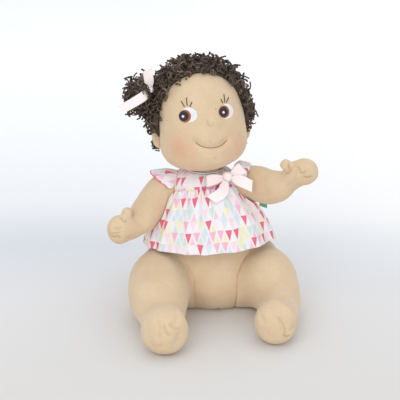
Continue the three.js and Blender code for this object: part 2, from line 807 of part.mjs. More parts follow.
// Hair: a pile cap over the back and top of the head, thick and lumpy with curls
const hairPole = new Vector3(0, 0.766, 0.643).normalize();
const hairEdgeShares = smoothTable([
  [0, 0.644],
  [0.222, 0.733],
  [0.322, 0.833],
  [0.422, 0.944],
  [0.489, 0.822],
  [0.572, 0.833],
  [0.628, 0.911],
  [0.694, 0.8],
  [0.789, 0.678],
  [1, 0.6],
]);
const hairSegments = 34;

// Direction at some degrees from the hair's pole, turned about it from the forehead side.
function hairAim(fromPole, round) {
  const front = new Vector3(0, -hairPole.z, hairPole.y);
  const side = new Vector3().crossVectors(hairPole, front);
  const a = degrees(fromPole);
  const b = degrees(round);
  return hairPole
    .clone()
    .multiplyScalar(Math.cos(a))
    .addScaledVector(front, Math.sin(a) * Math.cos(b))
    .addScaledVector(side, Math.sin(a) * Math.sin(b));
}

const lumpsAcross = 9;
const lumpsRound = 8;
const lumpTwist = 3;
const rimThinningShare = 0.35;

function curlLump(a, b) {
  const round = Math.cos(degrees(lumpsRound * b + lumpTwist * a));
  return CURL_LUMP * Math.sin(degrees(lumpsAcross * a)) * round;
}

const hairCap = (() => {
  const depthShares = [0.03, 0.15, 0.3, 0.45, 0.6, 0.74, 0.87, 0.97];
  const row = (share, offsetAt) =>
    Array.from({ length: hairSegments }, (_, i) => {
      const round = (i / hairSegments) * FULL_TURN;
      const half = Math.min(round, FULL_TURN - round) / HALF_TURN;
      const fromPole = share * hairEdgeShares(half)[0] * QUARTER_TURN;
      return onHead(headPoint(hairAim(fromPole, round), offsetAt(fromPole, round)));
    });
  const outer = depthShares.map((share) =>
    row(share, (a, b) => HAIR_THICKNESS * (1 - rimThinningShare * share ** 6) + curlLump(a, b)),
  );
  const rim = row(1, () => HAIR_THICKNESS / 2);
  const inner = [1, ...depthShares.toReversed()].map((share) => row(share, () => BACKING_GAP));
  return solidOf(skinOver([...outer, rim, ...inner]));
})();

// Ponytail: a tuft that leaves the head's upper right side through a band and fans out
const tailRoot = onHead(headPoint(lookAlong(-97, 49), HAIR_THICKNESS / 2));
const tailAim = new Vector3(-1, -0.12, 0.16).normalize();
const tailBandShare = 0.06;
const tailNeckShare = 0.23;
const tailDepthShare = 0.72;
const tailLumps = 5;
const tailShapeShares = [
  [0.0, 0.4],
  [tailNeckShare, 0.4],
  [0.32, 0.72],
  [0.45, 0.95],
  [0.65, 1.0],
  [0.85, 0.84],
  [0.97, 0.5],
  [1.0, 0.1],
];

function tailRow(rise, round, segments, lump) {
  const up = upward.clone().addScaledVector(tailAim, -upward.dot(tailAim)).normalize();
  const side = new Vector3().crossVectors(tailAim, up);
  const centre = tailRoot.clone().addScaledVector(tailAim, rise);
  return Array.from({ length: segments }, (_, i) => {
    const turn = (i / segments) * 2 * Math.PI;
    const reach = round + lump * Math.cos(tailLumps * turn + rise);
    return centre
      .clone()
      .addScaledVector(up, reach * Math.cos(turn))
      .addScaledVector(side, tailDepthShare * reach * Math.sin(turn));
  });
}

function ponytailBody(extra) {
  const rows = tailShapeShares.map(([rise, round]) => {
    const lump = rise > tailNeckShare ? CURL_LUMP : 0;
    return tailRow(rise * PONYTAIL_LENGTH, round * PONYTAIL_RADIUS + extra, 20, lump);
  });
  return solidOf(skinOver(rows));
}

const ponytail = ponytailBody(0);

// Elastic band round the tuft's root
const bandStart = PONYTAIL_LENGTH * tailBandShare;
const bandRadius = PONYTAIL_RADIUS * tailShapeShares[0][1] + SEAM_GAP;
const ponytailBand = (() => {
  const row = (end, wall) => tailRow(bandStart + end * BAND_WIDTH, bandRadius + wall, 20, 0);
  const rows = [row(0, 0), row(0, BAND_THICKNESS), row(1, BAND_THICKNESS), row(1, 0)];
  return solidOf(skinOver(rows, true));
})();

// Ribbon: a strip of satin along a path, its width turned the given way and gathered at a knot
const tailGatherShares = smoothTable([[0, 0.5], [0.3, 1], [1, 1]]);
const loopGatherShares = smoothTable([[0, 0.5], [0.25, 1], [0.75, 1], [1, 0.5]]);

function ribbon(points, across, steps, gatherShares) {
  const path = new CatmullRomCurve3(points);
  const rows = Array.from({ length: steps + 1 }, (_, k) => {
    const here = path.getPoint(k / steps);
    const along = path.getTangent(k / steps);
    const wide = across.clone().addScaledVector(along, -across.dot(along)).normalize();
    const thick = new Vector3().crossVectors(along, wide);
    const [gather] = gatherShares(k / steps);
    const corners = [[-1, -1], [1, -1], [1, 1], [-1, 1]];
    return corners.map(([w, t]) => here
      .clone()
      .addScaledVector(wide, (w * gather * RIBBON_WIDTH) / 2)
      .addScaledVector(thick, (t * RIBBON_THICKNESS) / 2));
  });
  return solidOf(skinOver(rows));
}

const pointFrom = (start, aim, distance) => start.clone().addScaledVector(aim, distance);

// Hair ribbon: tied over the band, one tail down across the tuft and one up behind it
const forwards = new Vector3(0, -1, 0);

// Point in front of the tuft, at a share of its length and some degrees below its front.
function tuftFront(rise, below, standOff) {
  const [round] = smoothTable(tailShapeShares)(rise);
  const centre = pointFrom(tailRoot, tailAim, rise * PONYTAIL_LENGTH);
  const reach = round * PONYTAIL_RADIUS + CURL_LUMP + standOff;
  const down = -reach * Math.sin(degrees(below));
  return centre.add(new Vector3(0, -tailDepthShare * reach * Math.cos(degrees(below)), down));
}

const RIBBON_CLEARANCE = 7.8;
const ribbonDropTurns = { knot: -35, middle: -10, far: 16 };
const hairKnotPlace = tuftFront(tailNeckShare / 2, ribbonDropTurns.knot, 2 * HAIR_KNOT_RADIUS);
const hairKnotBall = (extra) => {
  const radius = HAIR_KNOT_RADIUS + extra;
  return ellipsoid(hairKnotPlace, radius, radius, radius, 12);
};
const hairKnot = hairKnotBall(0);

const hairRibbonLong = (() => {
  const [middleShare, farShare] = [0.34, 0.9];
  const far = tuftFront(farShare, ribbonDropTurns.far, RIBBON_CLEARANCE);
  const aim = far.clone().sub(hairKnotPlace).normalize();
  const start = pointFrom(hairKnotPlace, aim, HAIR_KNOT_RADIUS + SEAM_GAP);
  const middle = tuftFront(middleShare, ribbonDropTurns.middle, RIBBON_CLEARANCE);
  const end = pointFrom(start, aim, HAIR_RIBBON_LENGTH);
  return ribbon([start, middle, end], new Vector3(-0.5, 0.1, 0.8), 6, tailGatherShares);
})();

const hairRibbonShort = (() => {
  const aim = new Vector3(-0.1, -0.35, 0.93).normalize();
  const start = pointFrom(hairKnotPlace, aim, HAIR_KNOT_RADIUS + SEAM_GAP);
  const halfway = pointFrom(start, aim, HAIR_RIBBON_UPPER_LENGTH / 2);
  const middle = pointFrom(halfway, forwards, RIBBON_THICKNESS);
  const end = pointFrom(start, aim, HAIR_RIBBON_UPPER_LENGTH);
  return ribbon([start, middle, end], new Vector3(1, 0, 0), 4, tailGatherShares);
})();

// The hair cap leaves room for the ears, the tuft's root, its band and the ribbon's knot.
const tuftRoom = (() => {
  const round = bandRadius + BAND_THICKNESS + SEAM_GAP;
  const rows = [-tailNeckShare, tailNeckShare].map((rise) => tailRow(rise * PONYTAIL_LENGTH, round, 20, 0));
  return solidOf(skinOver(rows)).add(ponytailBody(SEAM_GAP));
})();
const earRoom = [LEFT, RIGHT].map((side) => earDisc(side, SEAM_GAP));
const hair = cutBy(hairCap, tuftRoom, hairKnotBall(SEAM_GAP), ...earRoom);

// Dress: bodice and gathered skirt, offset from the torso that they lie on
const necklineHeight = TORSO_HEIGHT - NECKLINE_DROP;
const waistTilt = Math.tan(degrees(SHOULDER_TILT));
const segmentsPerFold = 5;
const dressSegments = segmentsPerFold * FOLD_COUNT;
const turnAt = (i, segments) => (i / segments) * 2 * Math.PI;

function waistHeightAt(turn) {
  const aside = torsoSection(WAIST_HEIGHT).halfWidth * Math.sin(turn);
  return WAIST_HEIGHT + WAIST_RISE * Math.cos(turn) + waistTilt * aside;
}

const bodice = (() => {
  const segments = torsoSegments;
  const row = (share, offset) => Array.from({ length: segments }, (_, i) => {
    const turn = turnAt(i, segments);
    const low = waistHeightAt(turn);
    return torsoPoint(turn, low + share * (necklineHeight - low), offset);
  });
  const riseShares = [0, 0.3, 0.55, 0.75, 0.9, 1];
  const outer = riseShares.map((share) => row(share, DRESS_EASE + CLOTH));
  const inner = riseShares.toReversed().map((share) => row(share, DRESS_EASE));
  return cutBy(solidOf(skinOver([...outer, ...inner], true)), ...armTools);
})();

// Point of the skirt, from the waist seam at 0 to the hem at 1.
const flareShares = smoothTable([[0, 0], [0.25, 0.3], [0.6, 0.68], [1, 1]]);
const gatherShares = smoothTable([[0, 0.25], [0.2, 0.9], [0.6, 1], [1, 0.8]]);

function skirtPoint(turn, share, offset) {
  const seam = waistHeightAt(turn) - SEAM_GAP;
  const top = torsoPoint(turn, seam, DRESS_EASE + offset);
  const [flare] = flareShares(share);
  const [gather] = gatherShares(share);
  const fold = FOLD_DEPTH * gather * Math.cos(FOLD_COUNT * turn);
  const hemCentre = torsoSection(HEM_HEIGHT).centre;
  const hem = new Vector3(
    hemCentre.x + (HEM_HALF_WIDTH - CLOTH + offset) * Math.sin(turn),
    HEM_FORWARD_SHIFT - (HEM_HALF_DEPTH - CLOTH + offset) * Math.cos(turn),
    HEM_HEIGHT + HEM_RISE * Math.cos(turn),
  );
  const level = top.lerp(hem, flare).setZ(seam + share * (hem.z - seam));
  const outwards = new Vector3(Math.sin(turn), -Math.cos(turn), 0);
  const skin = torsoPoint(turn, level.z, DRESS_EASE + offset);
  const inside = skin.sub(level).dot(outwards);
  return level.addScaledVector(outwards, fold + Math.max(inside + Math.abs(fold), 0));
}

const skirt = (() => {
  const row = (share, offset) =>
    Array.from({ length: dressSegments }, (_, i) => skirtPoint(turnAt(i, dressSegments), share, offset));
  const dropShares = [0, 0.18, 0.45, 0.72, 1];
  const outer = dropShares.map((share) => row(share, CLOTH));
  const inner = dropShares.toReversed().map((share) => row(share, 0));
  return cutBy(solidOf(skinOver([...outer, ...inner], true)), ...armTools);
})();

// Binding round the neckline, sitting on the bodice's top edge
const neckBinding = (() => {
  const segments = torsoSegments;
  const middle = DRESS_EASE + CLOTH / 2;
  const corners = [[-1, 0], [1, 0], [1, 1], [-1, 1]];
  const rows = corners.map(([w, t]) => Array.from({ length: segments }, (_, i) => {
    const seat = torsoPoint(turnAt(i, segments), necklineHeight, middle + w * BINDING_HALF_WIDTH);
    return seat.setZ(necklineHeight + SEAM_GAP + t * BINDING_HALF_WIDTH);
  }));
  return solidOf(skinOver(rows, true));
})();

// Flutter sleeves: caps that stand over the top of the arms, widest at the shoulder
const rightSleeveShares = smoothTable([[0, 1.02], [0.35, 1.15], [0.7, 1.12], [1, 1.03]]);
const leftSleeveShares = smoothTable([[0, 1.02], [0.3, 1.3], [0.7, 1.24], [1, 1.16]]);
const sleeveTaperShare = 0.88;
const sleeveRippleShare = 0.03;
const sleeveRipples = 4;
const sleeveShares = new Map([[LEFT, leftSleeveShares], [RIGHT, rightSleeveShares]]);
const sleeveReach = new Map([[LEFT, LEFT_SLEEVE_REACH], [RIGHT, RIGHT_SLEEVE_REACH]]);

function sleeveBody(side) {
  const shoulder = shoulderPlace(side);
  const bodyX = torsoSection(SHOULDER_HEIGHT).centre.x;
  const point = (aroundShare, outShare, wall) => {
    const turn = degrees(SLEEVE_HALF_ANGLE * aroundShare);
    const narrow = Math.cos(sleeveTaperShare * (Math.PI / 2) * aroundShare);
    const root = SLEEVE_ROOT_SPAN + SLEEVE_ROOT_SPREAD * aroundShare ** 2;
    const x = bodyX + side * (root + outShare * narrow * sleeveReach.get(side));
    const [lift] = sleeveShares.get(side)(outShare);
    const ripple = sleeveRippleShare * outShare * Math.cos(sleeveRipples * Math.PI * aroundShare);
    const away = (lift + ripple) * ARM_ROOT_RADIUS + SEAM_GAP + wall;
    return new Vector3(x, shoulder.y + away * Math.sin(turn), shoulder.z + away * Math.cos(turn));
  };
  const outShares = [0, 0.25, 0.5, 0.75, 1];
  const steps = 16;
  const rows = Array.from({ length: steps + 1 }, (_, k) => {
    const aroundShare = -1 + (2 * k) / steps;
    const over = outShares.map((share) => point(aroundShare, share, CLOTH));
    const under = outShares.toReversed().map((share) => point(aroundShare, share, 0));
    return [...over, ...under];
  });
  return solidOf(skinOver(rows));
}

// Hook-and-loop closure down the middle of the back
const backClosure = (() => {
  const low = DRESS_EASE + CLOTH + CLOSURE_STANDOFF;
  const foot = necklineHeight - CLOSURE_LENGTH;
  const halfTurn = CLOSURE_WIDTH / 2 / BELLY_HALF_DEPTH;
  const across = [-1, -0.5, 0, 0.5, 1];
  const riseShares = [0, 0.25, 0.5, 0.75, 0.95];
  const rows = riseShares.map((share) => {
    const height = foot + share * CLOSURE_LENGTH;
    const edge = (offset, order) => order.map((a) => torsoPoint(Math.PI + a * halfTurn, height, offset));
    return [...edge(low + CLOSURE_THICKNESS, across), ...edge(low, across.toReversed())];
  });
  return solidOf(skinOver(rows));
})();

// Bare folded label in the left side seam, just behind the widest part of the skirt
const labelTurn = 100;
const sideLabel = (() => {
  const turn = degrees(labelTurn);
  const seam = waistHeightAt(turn);
  const share = (seam - LABEL_HEIGHT + LABEL_WIDTH / 2) / (seam - HEM_HEIGHT);
  const root = skirtPoint(turn, share, CLOTH);
  const start = root.x + SEAM_GAP + LABEL_THICKNESS / 2;
  const box = new THREE.BoxGeometry(LABEL_LENGTH, LABEL_THICKNESS, LABEL_WIDTH);
  box.translate(start + LABEL_LENGTH / 2, root.y, LABEL_HEIGHT);
  return solidOf(box);
})();

// Bow on the left of the chest: a knot, two loops and two tails of satin
const NORMAL_PROBE = 0.5;

// Point over the dress's chest, at a turn from the front and a height, lifted along its normal.
function chestPoint(turn, height, lift) {
  const base = torsoPoint(turn, height, DRESS_EASE + CLOTH);
  const round = torsoPoint(turn + NORMAL_PROBE / BELLY_HALF_DEPTH, height, DRESS_EASE + CLOTH).sub(base);
  const rise = torsoPoint(turn, height + NORMAL_PROBE, DRESS_EASE + CLOTH).sub(base);
  return pointFrom(base, round.cross(rise).normalize(), lift);
}

const bowTurn = degrees(43);
const bowSeat = chestPoint(bowTurn, necklineHeight - BOW_DROP, BOW_KNOT_HEIGHT / 2 + SEAM_GAP);
const bowKnot = ellipsoid(bowSeat, BOW_KNOT_WIDTH / 2, BOW_KNOT_DEPTH / 2, BOW_KNOT_HEIGHT / 2, 14);

// Place where a ribbon starts, just outside the knot's surface.
function knotEdge(aim, gap) {
  const flat = new Vector3(aim.x / BOW_KNOT_WIDTH, aim.y / BOW_KNOT_DEPTH, aim.z / BOW_KNOT_HEIGHT);
  return pointFrom(bowSeat, aim, 1 / (2 * flat.length()) + gap);
}

// A loop leaves the knot to a tip and comes back over itself.
function bowLoop(tip, across) {
  const aim = tip.clone().sub(bowSeat).normalize();
  const start = knotEdge(aim, SEAM_GAP + RIBBON_THICKNESS / 2);
  const length = tip.distanceTo(start);
  const apart = new Vector3().crossVectors(aim, across).normalize();
  const outlineShares = [[0, 0.35], [0.45, 1], [0.88, 0.8], [1, 0], [0.88, -0.8], [0.45, -1], [0, -0.35]];
  const points = outlineShares.map(([share, depth]) =>
    pointFrom(pointFrom(start, aim, share * length), apart, (depth * BOW_LOOP_OPENING) / 2));
  return ribbon(points, across, 14, loopGatherShares);
}

function bowTail(middle, tip, across) {
  const aim = middle.clone().sub(bowSeat).normalize();
  const start = knotEdge(aim, SEAM_GAP + RIBBON_THICKNESS / 2);
  return ribbon([start, middle, tip], across, 6, tailGatherShares);
}

// Places round the knot, as shares of a loop's or a tail's length.
const innerLoopShares = new Vector3(-0.847, -0.437, -0.07);
const outerLoopShares = new Vector3(0.648, 0.11, 0.381);
const sideTailShares = [new Vector3(0.46, -0.17, -0.09), new Vector3(0.78, -0.23, -0.24)];
const lowerTailShares = [new Vector3(-0.16, -0.44, -0.36), new Vector3(-0.5, -0.6, -0.55)];
const byKnot = (shares, length) => pointFrom(bowSeat, shares, length);

const bowInnerLoop = bowLoop(byKnot(innerLoopShares, BOW_LOOP_LENGTH), new Vector3(0, 0.6, 0.8));
const bowOuterLoop = bowLoop(byKnot(outerLoopShares, BOW_LOOP_LENGTH), new Vector3(-0.64, 0.2, 0.74));
const bowSideTail = bowTail(
  byKnot(sideTailShares[0], BOW_TAIL_LENGTH),
  byKnot(sideTailShares[1], BOW_TAIL_LENGTH),
  new Vector3(0, 0.3, 1),
);
const bowLowerTail = bowTail(
  byKnot(lowerTailShares[0], BOW_TAIL_LENGTH),
  byKnot(lowerTailShares[1], BOW_TAIL_LENGTH),
  new Vector3(1, 0, -0.6),
);

// Assembly
const colours = {
  skin: 0xdec5a0,
  panel: 0xd8bf9a,
  pellets: 0xe8e2d4,
  hair: 0x3c302c,
  white: 0xfafaf8,
  iris: 0xbe5a32,
  pupil: 0x191923,
  thread: 0x6e4b2d,
  cotton: 0xf8f4f6,
  satin: 0xf8e4e4,
  label: 0x8cbe9b,
};

const doll = new THREE.Group();
doll.name = 'doll';

function place(name, solid, colour, roughness = 0.9) {
  const geometry = geometryOf(solid);
  const material = new THREE.MeshStandardMaterial({ color: colour, roughness, metalness: 0 });
  const mesh = new THREE.Mesh(geometry, material);
  mesh.name = name;
  doll.add(mesh);
}

place('torso', torso, colours.skin);
place('seat_panel', seatPanel, colours.panel);
place('pellet_bag', pelletBag, colours.pellets);
place('neck', neckBall(0), colours.skin);
place('head', head, colours.skin);
[[LEFT, 'left'], [RIGHT, 'right']].forEach(([side, word]) => {
  place(`${word}_leg`, legs.get(side), colours.skin);
  place(`${word}_arm`, arms.get(side), colours.skin);
  place(`${word}_ear`, ears.get(side), colours.skin);
  const eye = eyePieces(side);
  place(`${word}_eye_white`, eye.eye_white, colours.white, 0.5);
  place(`${word}_iris`, eye.iris, colours.iris, 0.4);
  place(`${word}_pupil`, eye.pupil, colours.pupil, 0.3);
  place(`${word}_eye_glint`, eye.glint, colours.white, 0.3);
  lashes(side).forEach((lash, i) => place(`${word}_lash_${i + 1}`, lash, colours.thread));
});
place('smile_stitch', smile, colours.thread);
place('hair_cap', hair, colours.hair);
place('ponytail', ponytail, colours.hair);
place('ponytail_band', ponytailBand, colours.hair, 0.7);
place('hair_ribbon_knot', hairKnot, colours.satin, 0.4);
place('hair_ribbon_long_tail', hairRibbonLong, colours.satin, 0.4);
place('hair_ribbon_short_tail', hairRibbonShort, colours.satin, 0.4);
place('dress_bodice', bodice, colours.cotton);
place('dress_skirt', skirt, colours.cotton);
place('neck_binding', neckBinding, colours.cotton);
place('left_sleeve', sleeveBody(LEFT), colours.cotton);
place('right_sleeve', sleeveBody(RIGHT), colours.cotton);
place('back_closure', backClosure, colours.cotton);
place('side_label', sideLabel, colours.label);
place('bow_knot', bowKnot, colours.satin, 0.4);
place('bow_inner_loop', bowInnerLoop, colours.satin, 0.4);
place('bow_outer_loop', bowOuterLoop, colours.satin, 0.4);
place('bow_side_tail', bowSideTail, colours.satin, 0.4);
place('bow_lower_tail', bowLowerTail, colours.satin, 0.4);

export default doll;
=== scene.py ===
# %% [markdown]
# # A soft doll that sits
# The doll is a stuffed toy of knitted fabric in a printed dress, about 22 cm high as it sits. This
# lesson dresses its CAD solids in what a camera would see: cloth, seams, folds and curls. Each
# cell makes one group of pieces and prints what it made.
#
# Blender works in metres, but the forms are worked out in millimetres here, because the numbers
# are easier to read. +Z is up, the doll faces -Y and sits on the floor at z = 0, and +X is towards
# its own left hand.

# %% Load the frame
import math

import bmesh
import bpy
import numpy as np
from mathutils import Matrix, Vector, noise
from mathutils.bvhtree import BVHTree


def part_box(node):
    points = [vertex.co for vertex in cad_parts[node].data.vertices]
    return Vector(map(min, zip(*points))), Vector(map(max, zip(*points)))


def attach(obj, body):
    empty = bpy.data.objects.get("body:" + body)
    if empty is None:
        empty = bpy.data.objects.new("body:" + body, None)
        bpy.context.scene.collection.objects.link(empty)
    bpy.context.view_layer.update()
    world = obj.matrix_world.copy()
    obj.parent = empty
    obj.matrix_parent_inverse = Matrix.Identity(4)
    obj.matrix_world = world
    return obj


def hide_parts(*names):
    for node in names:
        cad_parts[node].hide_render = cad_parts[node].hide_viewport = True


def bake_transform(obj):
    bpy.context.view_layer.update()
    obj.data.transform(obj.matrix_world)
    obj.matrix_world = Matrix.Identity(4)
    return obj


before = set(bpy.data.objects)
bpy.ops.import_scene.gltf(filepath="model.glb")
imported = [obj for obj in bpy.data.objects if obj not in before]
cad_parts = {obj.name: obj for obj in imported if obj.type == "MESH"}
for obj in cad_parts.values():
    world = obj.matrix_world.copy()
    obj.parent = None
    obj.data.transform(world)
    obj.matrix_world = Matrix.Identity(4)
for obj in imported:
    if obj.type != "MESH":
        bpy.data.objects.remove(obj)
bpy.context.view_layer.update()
MM = 0.001
LEFT, RIGHT = 1, -1
SIDES = ((LEFT, "left"), (RIGHT, "right"))

# %% [markdown]
# ## Camera
# The photograph was taken from the front with a long lens, 20 degrees above the floor. A camera
# could be placed by eye, but then no length in the picture could be trusted. Here its distance and
# the width of its frame are fixed first, so that one pixel is 0.9 mm at the doll, and every size
# in this file can be read from the photograph.

# %% Camera
ELEVATION = math.radians(20)
CAMERA_DISTANCE = 1.25
FRAME_WIDTH, SENSOR_WIDTH, IMAGE_PIXELS = 0.36, 36, 400
target = Vector((-0.013, 0, 0.092))
camera_data = bpy.data.cameras.new("camera")
camera_data.sensor_width = SENSOR_WIDTH
camera_data.lens = SENSOR_WIDTH * CAMERA_DISTANCE / FRAME_WIDTH
camera = bpy.data.objects.new("camera", camera_data)
bpy.context.scene.collection.objects.link(camera)
back = Vector((0, -math.cos(ELEVATION), math.sin(ELEVATION)))
camera.location = target + CAMERA_DISTANCE * back
camera.rotation_euler = (-back).to_track_quat("-Z", "Y").to_euler()
bpy.context.scene.camera = camera
bpy.context.scene.view_settings.view_transform = "Standard"
print("camera at", [round(c, 3) for c in camera.location])

# %% [markdown]
# ## Lights
# Studio light for a toy is broad and soft, so that it shows the fabric without hard shadows. A
# picture of a studio round the scene could light it, but a few square lamps are easier to
# understand and to change. A warm key lamp stands high on the left of the picture, two weaker ones
# fill the shadows from the right and from below, one lifts the hair from above, and a dim world
# does the rest.

# %% Lamps
def area_light(name, place, size, energy, colour=(1, 1, 1), aim=target):
    data = bpy.data.lights.new(name, "AREA")
    data.energy, data.size, data.color = energy, size, colour
    light = bpy.data.objects.new(name, data)
    light.location = place
    light.rotation_euler = (Vector(aim) - Vector(place)).to_track_quat("-Z", "Y").to_euler()
    bpy.context.scene.collection.objects.link(light)


area_light("key_light", (-0.6, -1.2, 1.05), size=1.1, energy=4.8, colour=(1, 0.99, 0.97))
area_light("fill_light", (0.8, -1.4, 0.4), size=1.5, energy=4.2, colour=(0.99, 0.99, 1))
area_light("low_light", (-0.1, -1.35, 0.12), size=1.0, energy=3.3, aim=(0, 0, 0.03))
area_light("top_light", (0.1, 0.5, 1.3), size=1.0, energy=3)

# %% World
PALE_SKY = (0.97, 0.985, 1, 1)
world = bpy.data.worlds.new("studio")
bpy.context.scene.world = world
world.use_nodes = True
background = world.node_tree.nodes["Background"]
background.inputs["Color"].default_value = PALE_SKY
background.inputs["Strength"].default_value = 0.77
print("world", world.name, "at strength", round(background.inputs["Strength"].default_value, 2))

# %% [markdown]
# ## Materials
# A finish could be painted as an image, or worked out by nodes. Nodes are chosen here: they stay
# sharp from any distance and hold no picture. Writing out each link would fill pages, so two small
# classes give the common nodes short names. A pattern reads one of three things: the place on the
# object, for fibres and blotches; a woven piece's own cloth coordinates, for its print and
# threads; or a value painted on the points, for seams, blush and hems, and for painted shade in
# grooves, beside other parts and under the chin.

# %% Node helpers
class Nodes:
    """A material's node tree, with short ways to add its nodes and to join them."""

    def __init__(self, name):
        self.material = bpy.data.materials.new(name)
        self.material.use_nodes = True
        self.tree = self.material.node_tree
        self.shader = self.tree.nodes["Principled BSDF"]

    def put(self, socket, value):
        if isinstance(value, bpy.types.NodeSocket):
            self.tree.links.new(value, socket)
        elif value is not None:
            socket.default_value = value

    def add(self, kind, values=None, **settings):
        node = self.tree.nodes.new("ShaderNode" + kind)
        for key, value in settings.items():
            setattr(node, key, value)
        for key, value in (values or {}).items():
            self.put(node.inputs[key], value)
        return node

    def math(self, operation, a, b=0.0, clamp=False):
        return self.add("Math", {0: a, 1: b}, operation=operation, use_clamp=clamp).outputs[0]

    def sine(self, value, rate):
        return self.math("SINE", self.math("MULTIPLY", value, rate))

    def mix(self, factor, a, b):
        return self.add("Mix", {0: factor, 6: a, 7: b}, data_type="RGBA").outputs[2]

    def ramp(self, factor, stops, interpolation="LINEAR"):
        node = self.add("ValToRGB", {0: factor})
        node.color_ramp.interpolation = interpolation
        while len(node.color_ramp.elements) < len(stops):
            node.color_ramp.elements.new(0.5)
        for element, (place, colour) in zip(node.color_ramp.elements, stops):
            element.position, element.color = place, colour
        return node.outputs[0]


print("helpers", [name for name in vars(Nodes) if name[0] != "_"])


# %% What a finish reads and gives
class Finish(Nodes):
    """A node tree that reads places, cloth coordinates and painted values, and ends in a shader."""

    def attribute(self, name):
        return self.add("Attribute", attribute_name=name).outputs["Fac"]

    def place(self):
        return self.add("TexCoord").outputs["Object"]

    def parts(self, vector):
        return self.add("SeparateXYZ", {0: vector}).outputs

    def cloth(self):
        return self.parts(self.add("UVMap", uv_map="cloth").outputs[0])[:2]

    def noise(self, vector, scale, detail=3.0, roughness=0.5):
        values = {"Vector": vector, "Scale": scale, "Detail": detail, "Roughness": roughness}
        return self.add("TexNoise", values).outputs[0]

    def bump(self, height, strength, distance, normal=None):
        values = {"Height": height, "Strength": strength, "Distance": distance * MM, "Normal": normal}
        return self.add("Bump", values).outputs[0]

    def surface(self, colour, roughness, normal=None, **fixed):
        self.put(self.shader.inputs["Base Color"], colour)
        self.put(self.shader.inputs["Normal"], normal)
        for key, value in {"Roughness": roughness, **fixed}.items():
            self.shader.inputs[key.replace("_", " ")].default_value = value
        return self.material


print("helpers", [name for name in vars(Finish) if name[0] != "_"])


# %% Screen colours
def linear(red, green, blue):
    """Scene colour of a screen colour given in 0 to 255."""
    shares = [c / 255 for c in (red, green, blue)]
    return (*(c / 12.92 if c <= 0.04045 else ((c + 0.055) / 1.055) ** 2.4 for c in shares), 1.0)


print("middle grey on a screen is", round(linear(128, 128, 128)[0], 3), "in the scene")

# %% [markdown]
# ### Knitted skin
# The skin is a fine, slightly brushed knit in a sandy tone. Its stitches could be modelled as
# loops of yarn, but they are far smaller than a pixel here. So noise of four sizes gives the
# blotches, the dimples, the fleece and the single fibres, two crossed waves give the wales and
# rows of the knit as bump, and a little sheen gives the soft edge that brushed cloth has against
# the light.

# %% Knitted skin
WALE_RATE, ROW_RATE, WALE_SLANT = 6200, 8200, 0.6


def skin_material(name):
    """Fine knit with soft blotches and a fleecy grain; blush, seams and painted shade come from painted
    values.
    """
    n = Finish(name)
    place = n.place()
    blotches = n.noise(place, scale=36, detail=3, roughness=0.6)
    grain = n.noise(place, scale=430, detail=3, roughness=0.65)
    fibre = n.noise(place, scale=3000, detail=2, roughness=0.7)
    dimples = n.noise(place, scale=150, detail=3, roughness=0.55)
    tone = n.ramp(blotches, ((0.3, linear(219, 194, 160)), (0.7, linear(229, 207, 176))))
    tone = n.mix(n.math("MULTIPLY", n.math("SUBTRACT", grain, 0.3), 0.5, True), tone, linear(204, 175, 138))
    tone = n.mix(n.math("MULTIPLY", fibre, 0.12), tone, linear(196, 165, 128))
    # The blush value holds the cheeks' rubbed colour, and also a painted shade under the chin.
    tone = n.mix(n.attribute("blush_and_chin_shade"), tone, linear(224, 154, 128))
    # The seam value darkens the knit: painted shade in grooves and where parts lie against each other, and a
    # mole's own dark.
    tone = n.mix(n.attribute("seam"), tone, linear(140, 104, 72))
    x, y, z = n.parts(place)
    wale = n.sine(n.math("ADD", x, n.math("MULTIPLY", y, WALE_SLANT)), WALE_RATE)
    knit = n.math("MULTIPLY", n.math("ADD", wale, n.sine(z, ROW_RATE)), n.math("ADD", fibre, 0.4))
    normal = n.bump(knit, strength=0.25, distance=0.12)
    normal = n.bump(grain, 0.4, 0.25, normal)
    normal = n.bump(dimples, 0.45, 0.6, normal)
    return n.surface(tone, 0.9, normal, Sheen_Weight=0.25, Sheen_Roughness=0.5, Specular_IOR_Level=0.25)


skin = skin_material("skin_knit")
print("material", skin.name)

# %% [markdown]
# ### Printed cotton
# The dress is white cotton with rows of small triangles in reds, pinks, yellow and mint. Such a
# print is usually an image that repeats. Here the cloth's own millimetres are divided into cells
# instead: in each cell a triangle is drawn by comparing two distances, and white noise picks its
# colour from a short list. The print follows each fold, because it reads the cloth coordinates.

# %% Triangles of the print
CELL_WIDTH, CELL_HEIGHT = 7.6, 10.4
ROW_SHIFT, UPRIGHT_LIFT = 0.41, 0.3


def triangles(n, cloth, up, wide, tall, shift, colours):
    """Where a row's triangles lie, and their colours; wide and tall are shares of a cell."""
    u, v = cloth
    level = n.math("ADD", n.math("DIVIDE", v, CELL_HEIGHT), UPRIGHT_LIFT * up)
    row = n.math("FLOOR", level)
    stagger = n.math("ADD", n.math("MULTIPLY", row, ROW_SHIFT), shift)
    along = n.math("ADD", n.math("DIVIDE", u, CELL_WIDTH), stagger)
    rise = n.math("DIVIDE", n.math("FRACT", level), tall)
    side = n.math("ABSOLUTE", n.math("SUBTRACT", n.math("FRACT", along), 0.5))
    width = n.math("MULTIPLY", n.math("SUBTRACT", 1.0, rise) if up else rise, wide / 2)
    inside = n.math("MULTIPLY", n.math("LESS_THAN", side, width), n.math("LESS_THAN", rise, 1.0))
    cell = n.add("CombineXYZ", {0: n.math("FLOOR", along), 1: row, 2: float(7 * up + 1)}).outputs[0]
    pick = n.add("TexWhiteNoise", {"Vector": cell}, noise_dimensions="3D").outputs[0]
    return inside, n.ramp(pick, colours, "CONSTANT")


print("a cell of the print is", CELL_WIDTH, "x", CELL_HEIGHT, "mm")

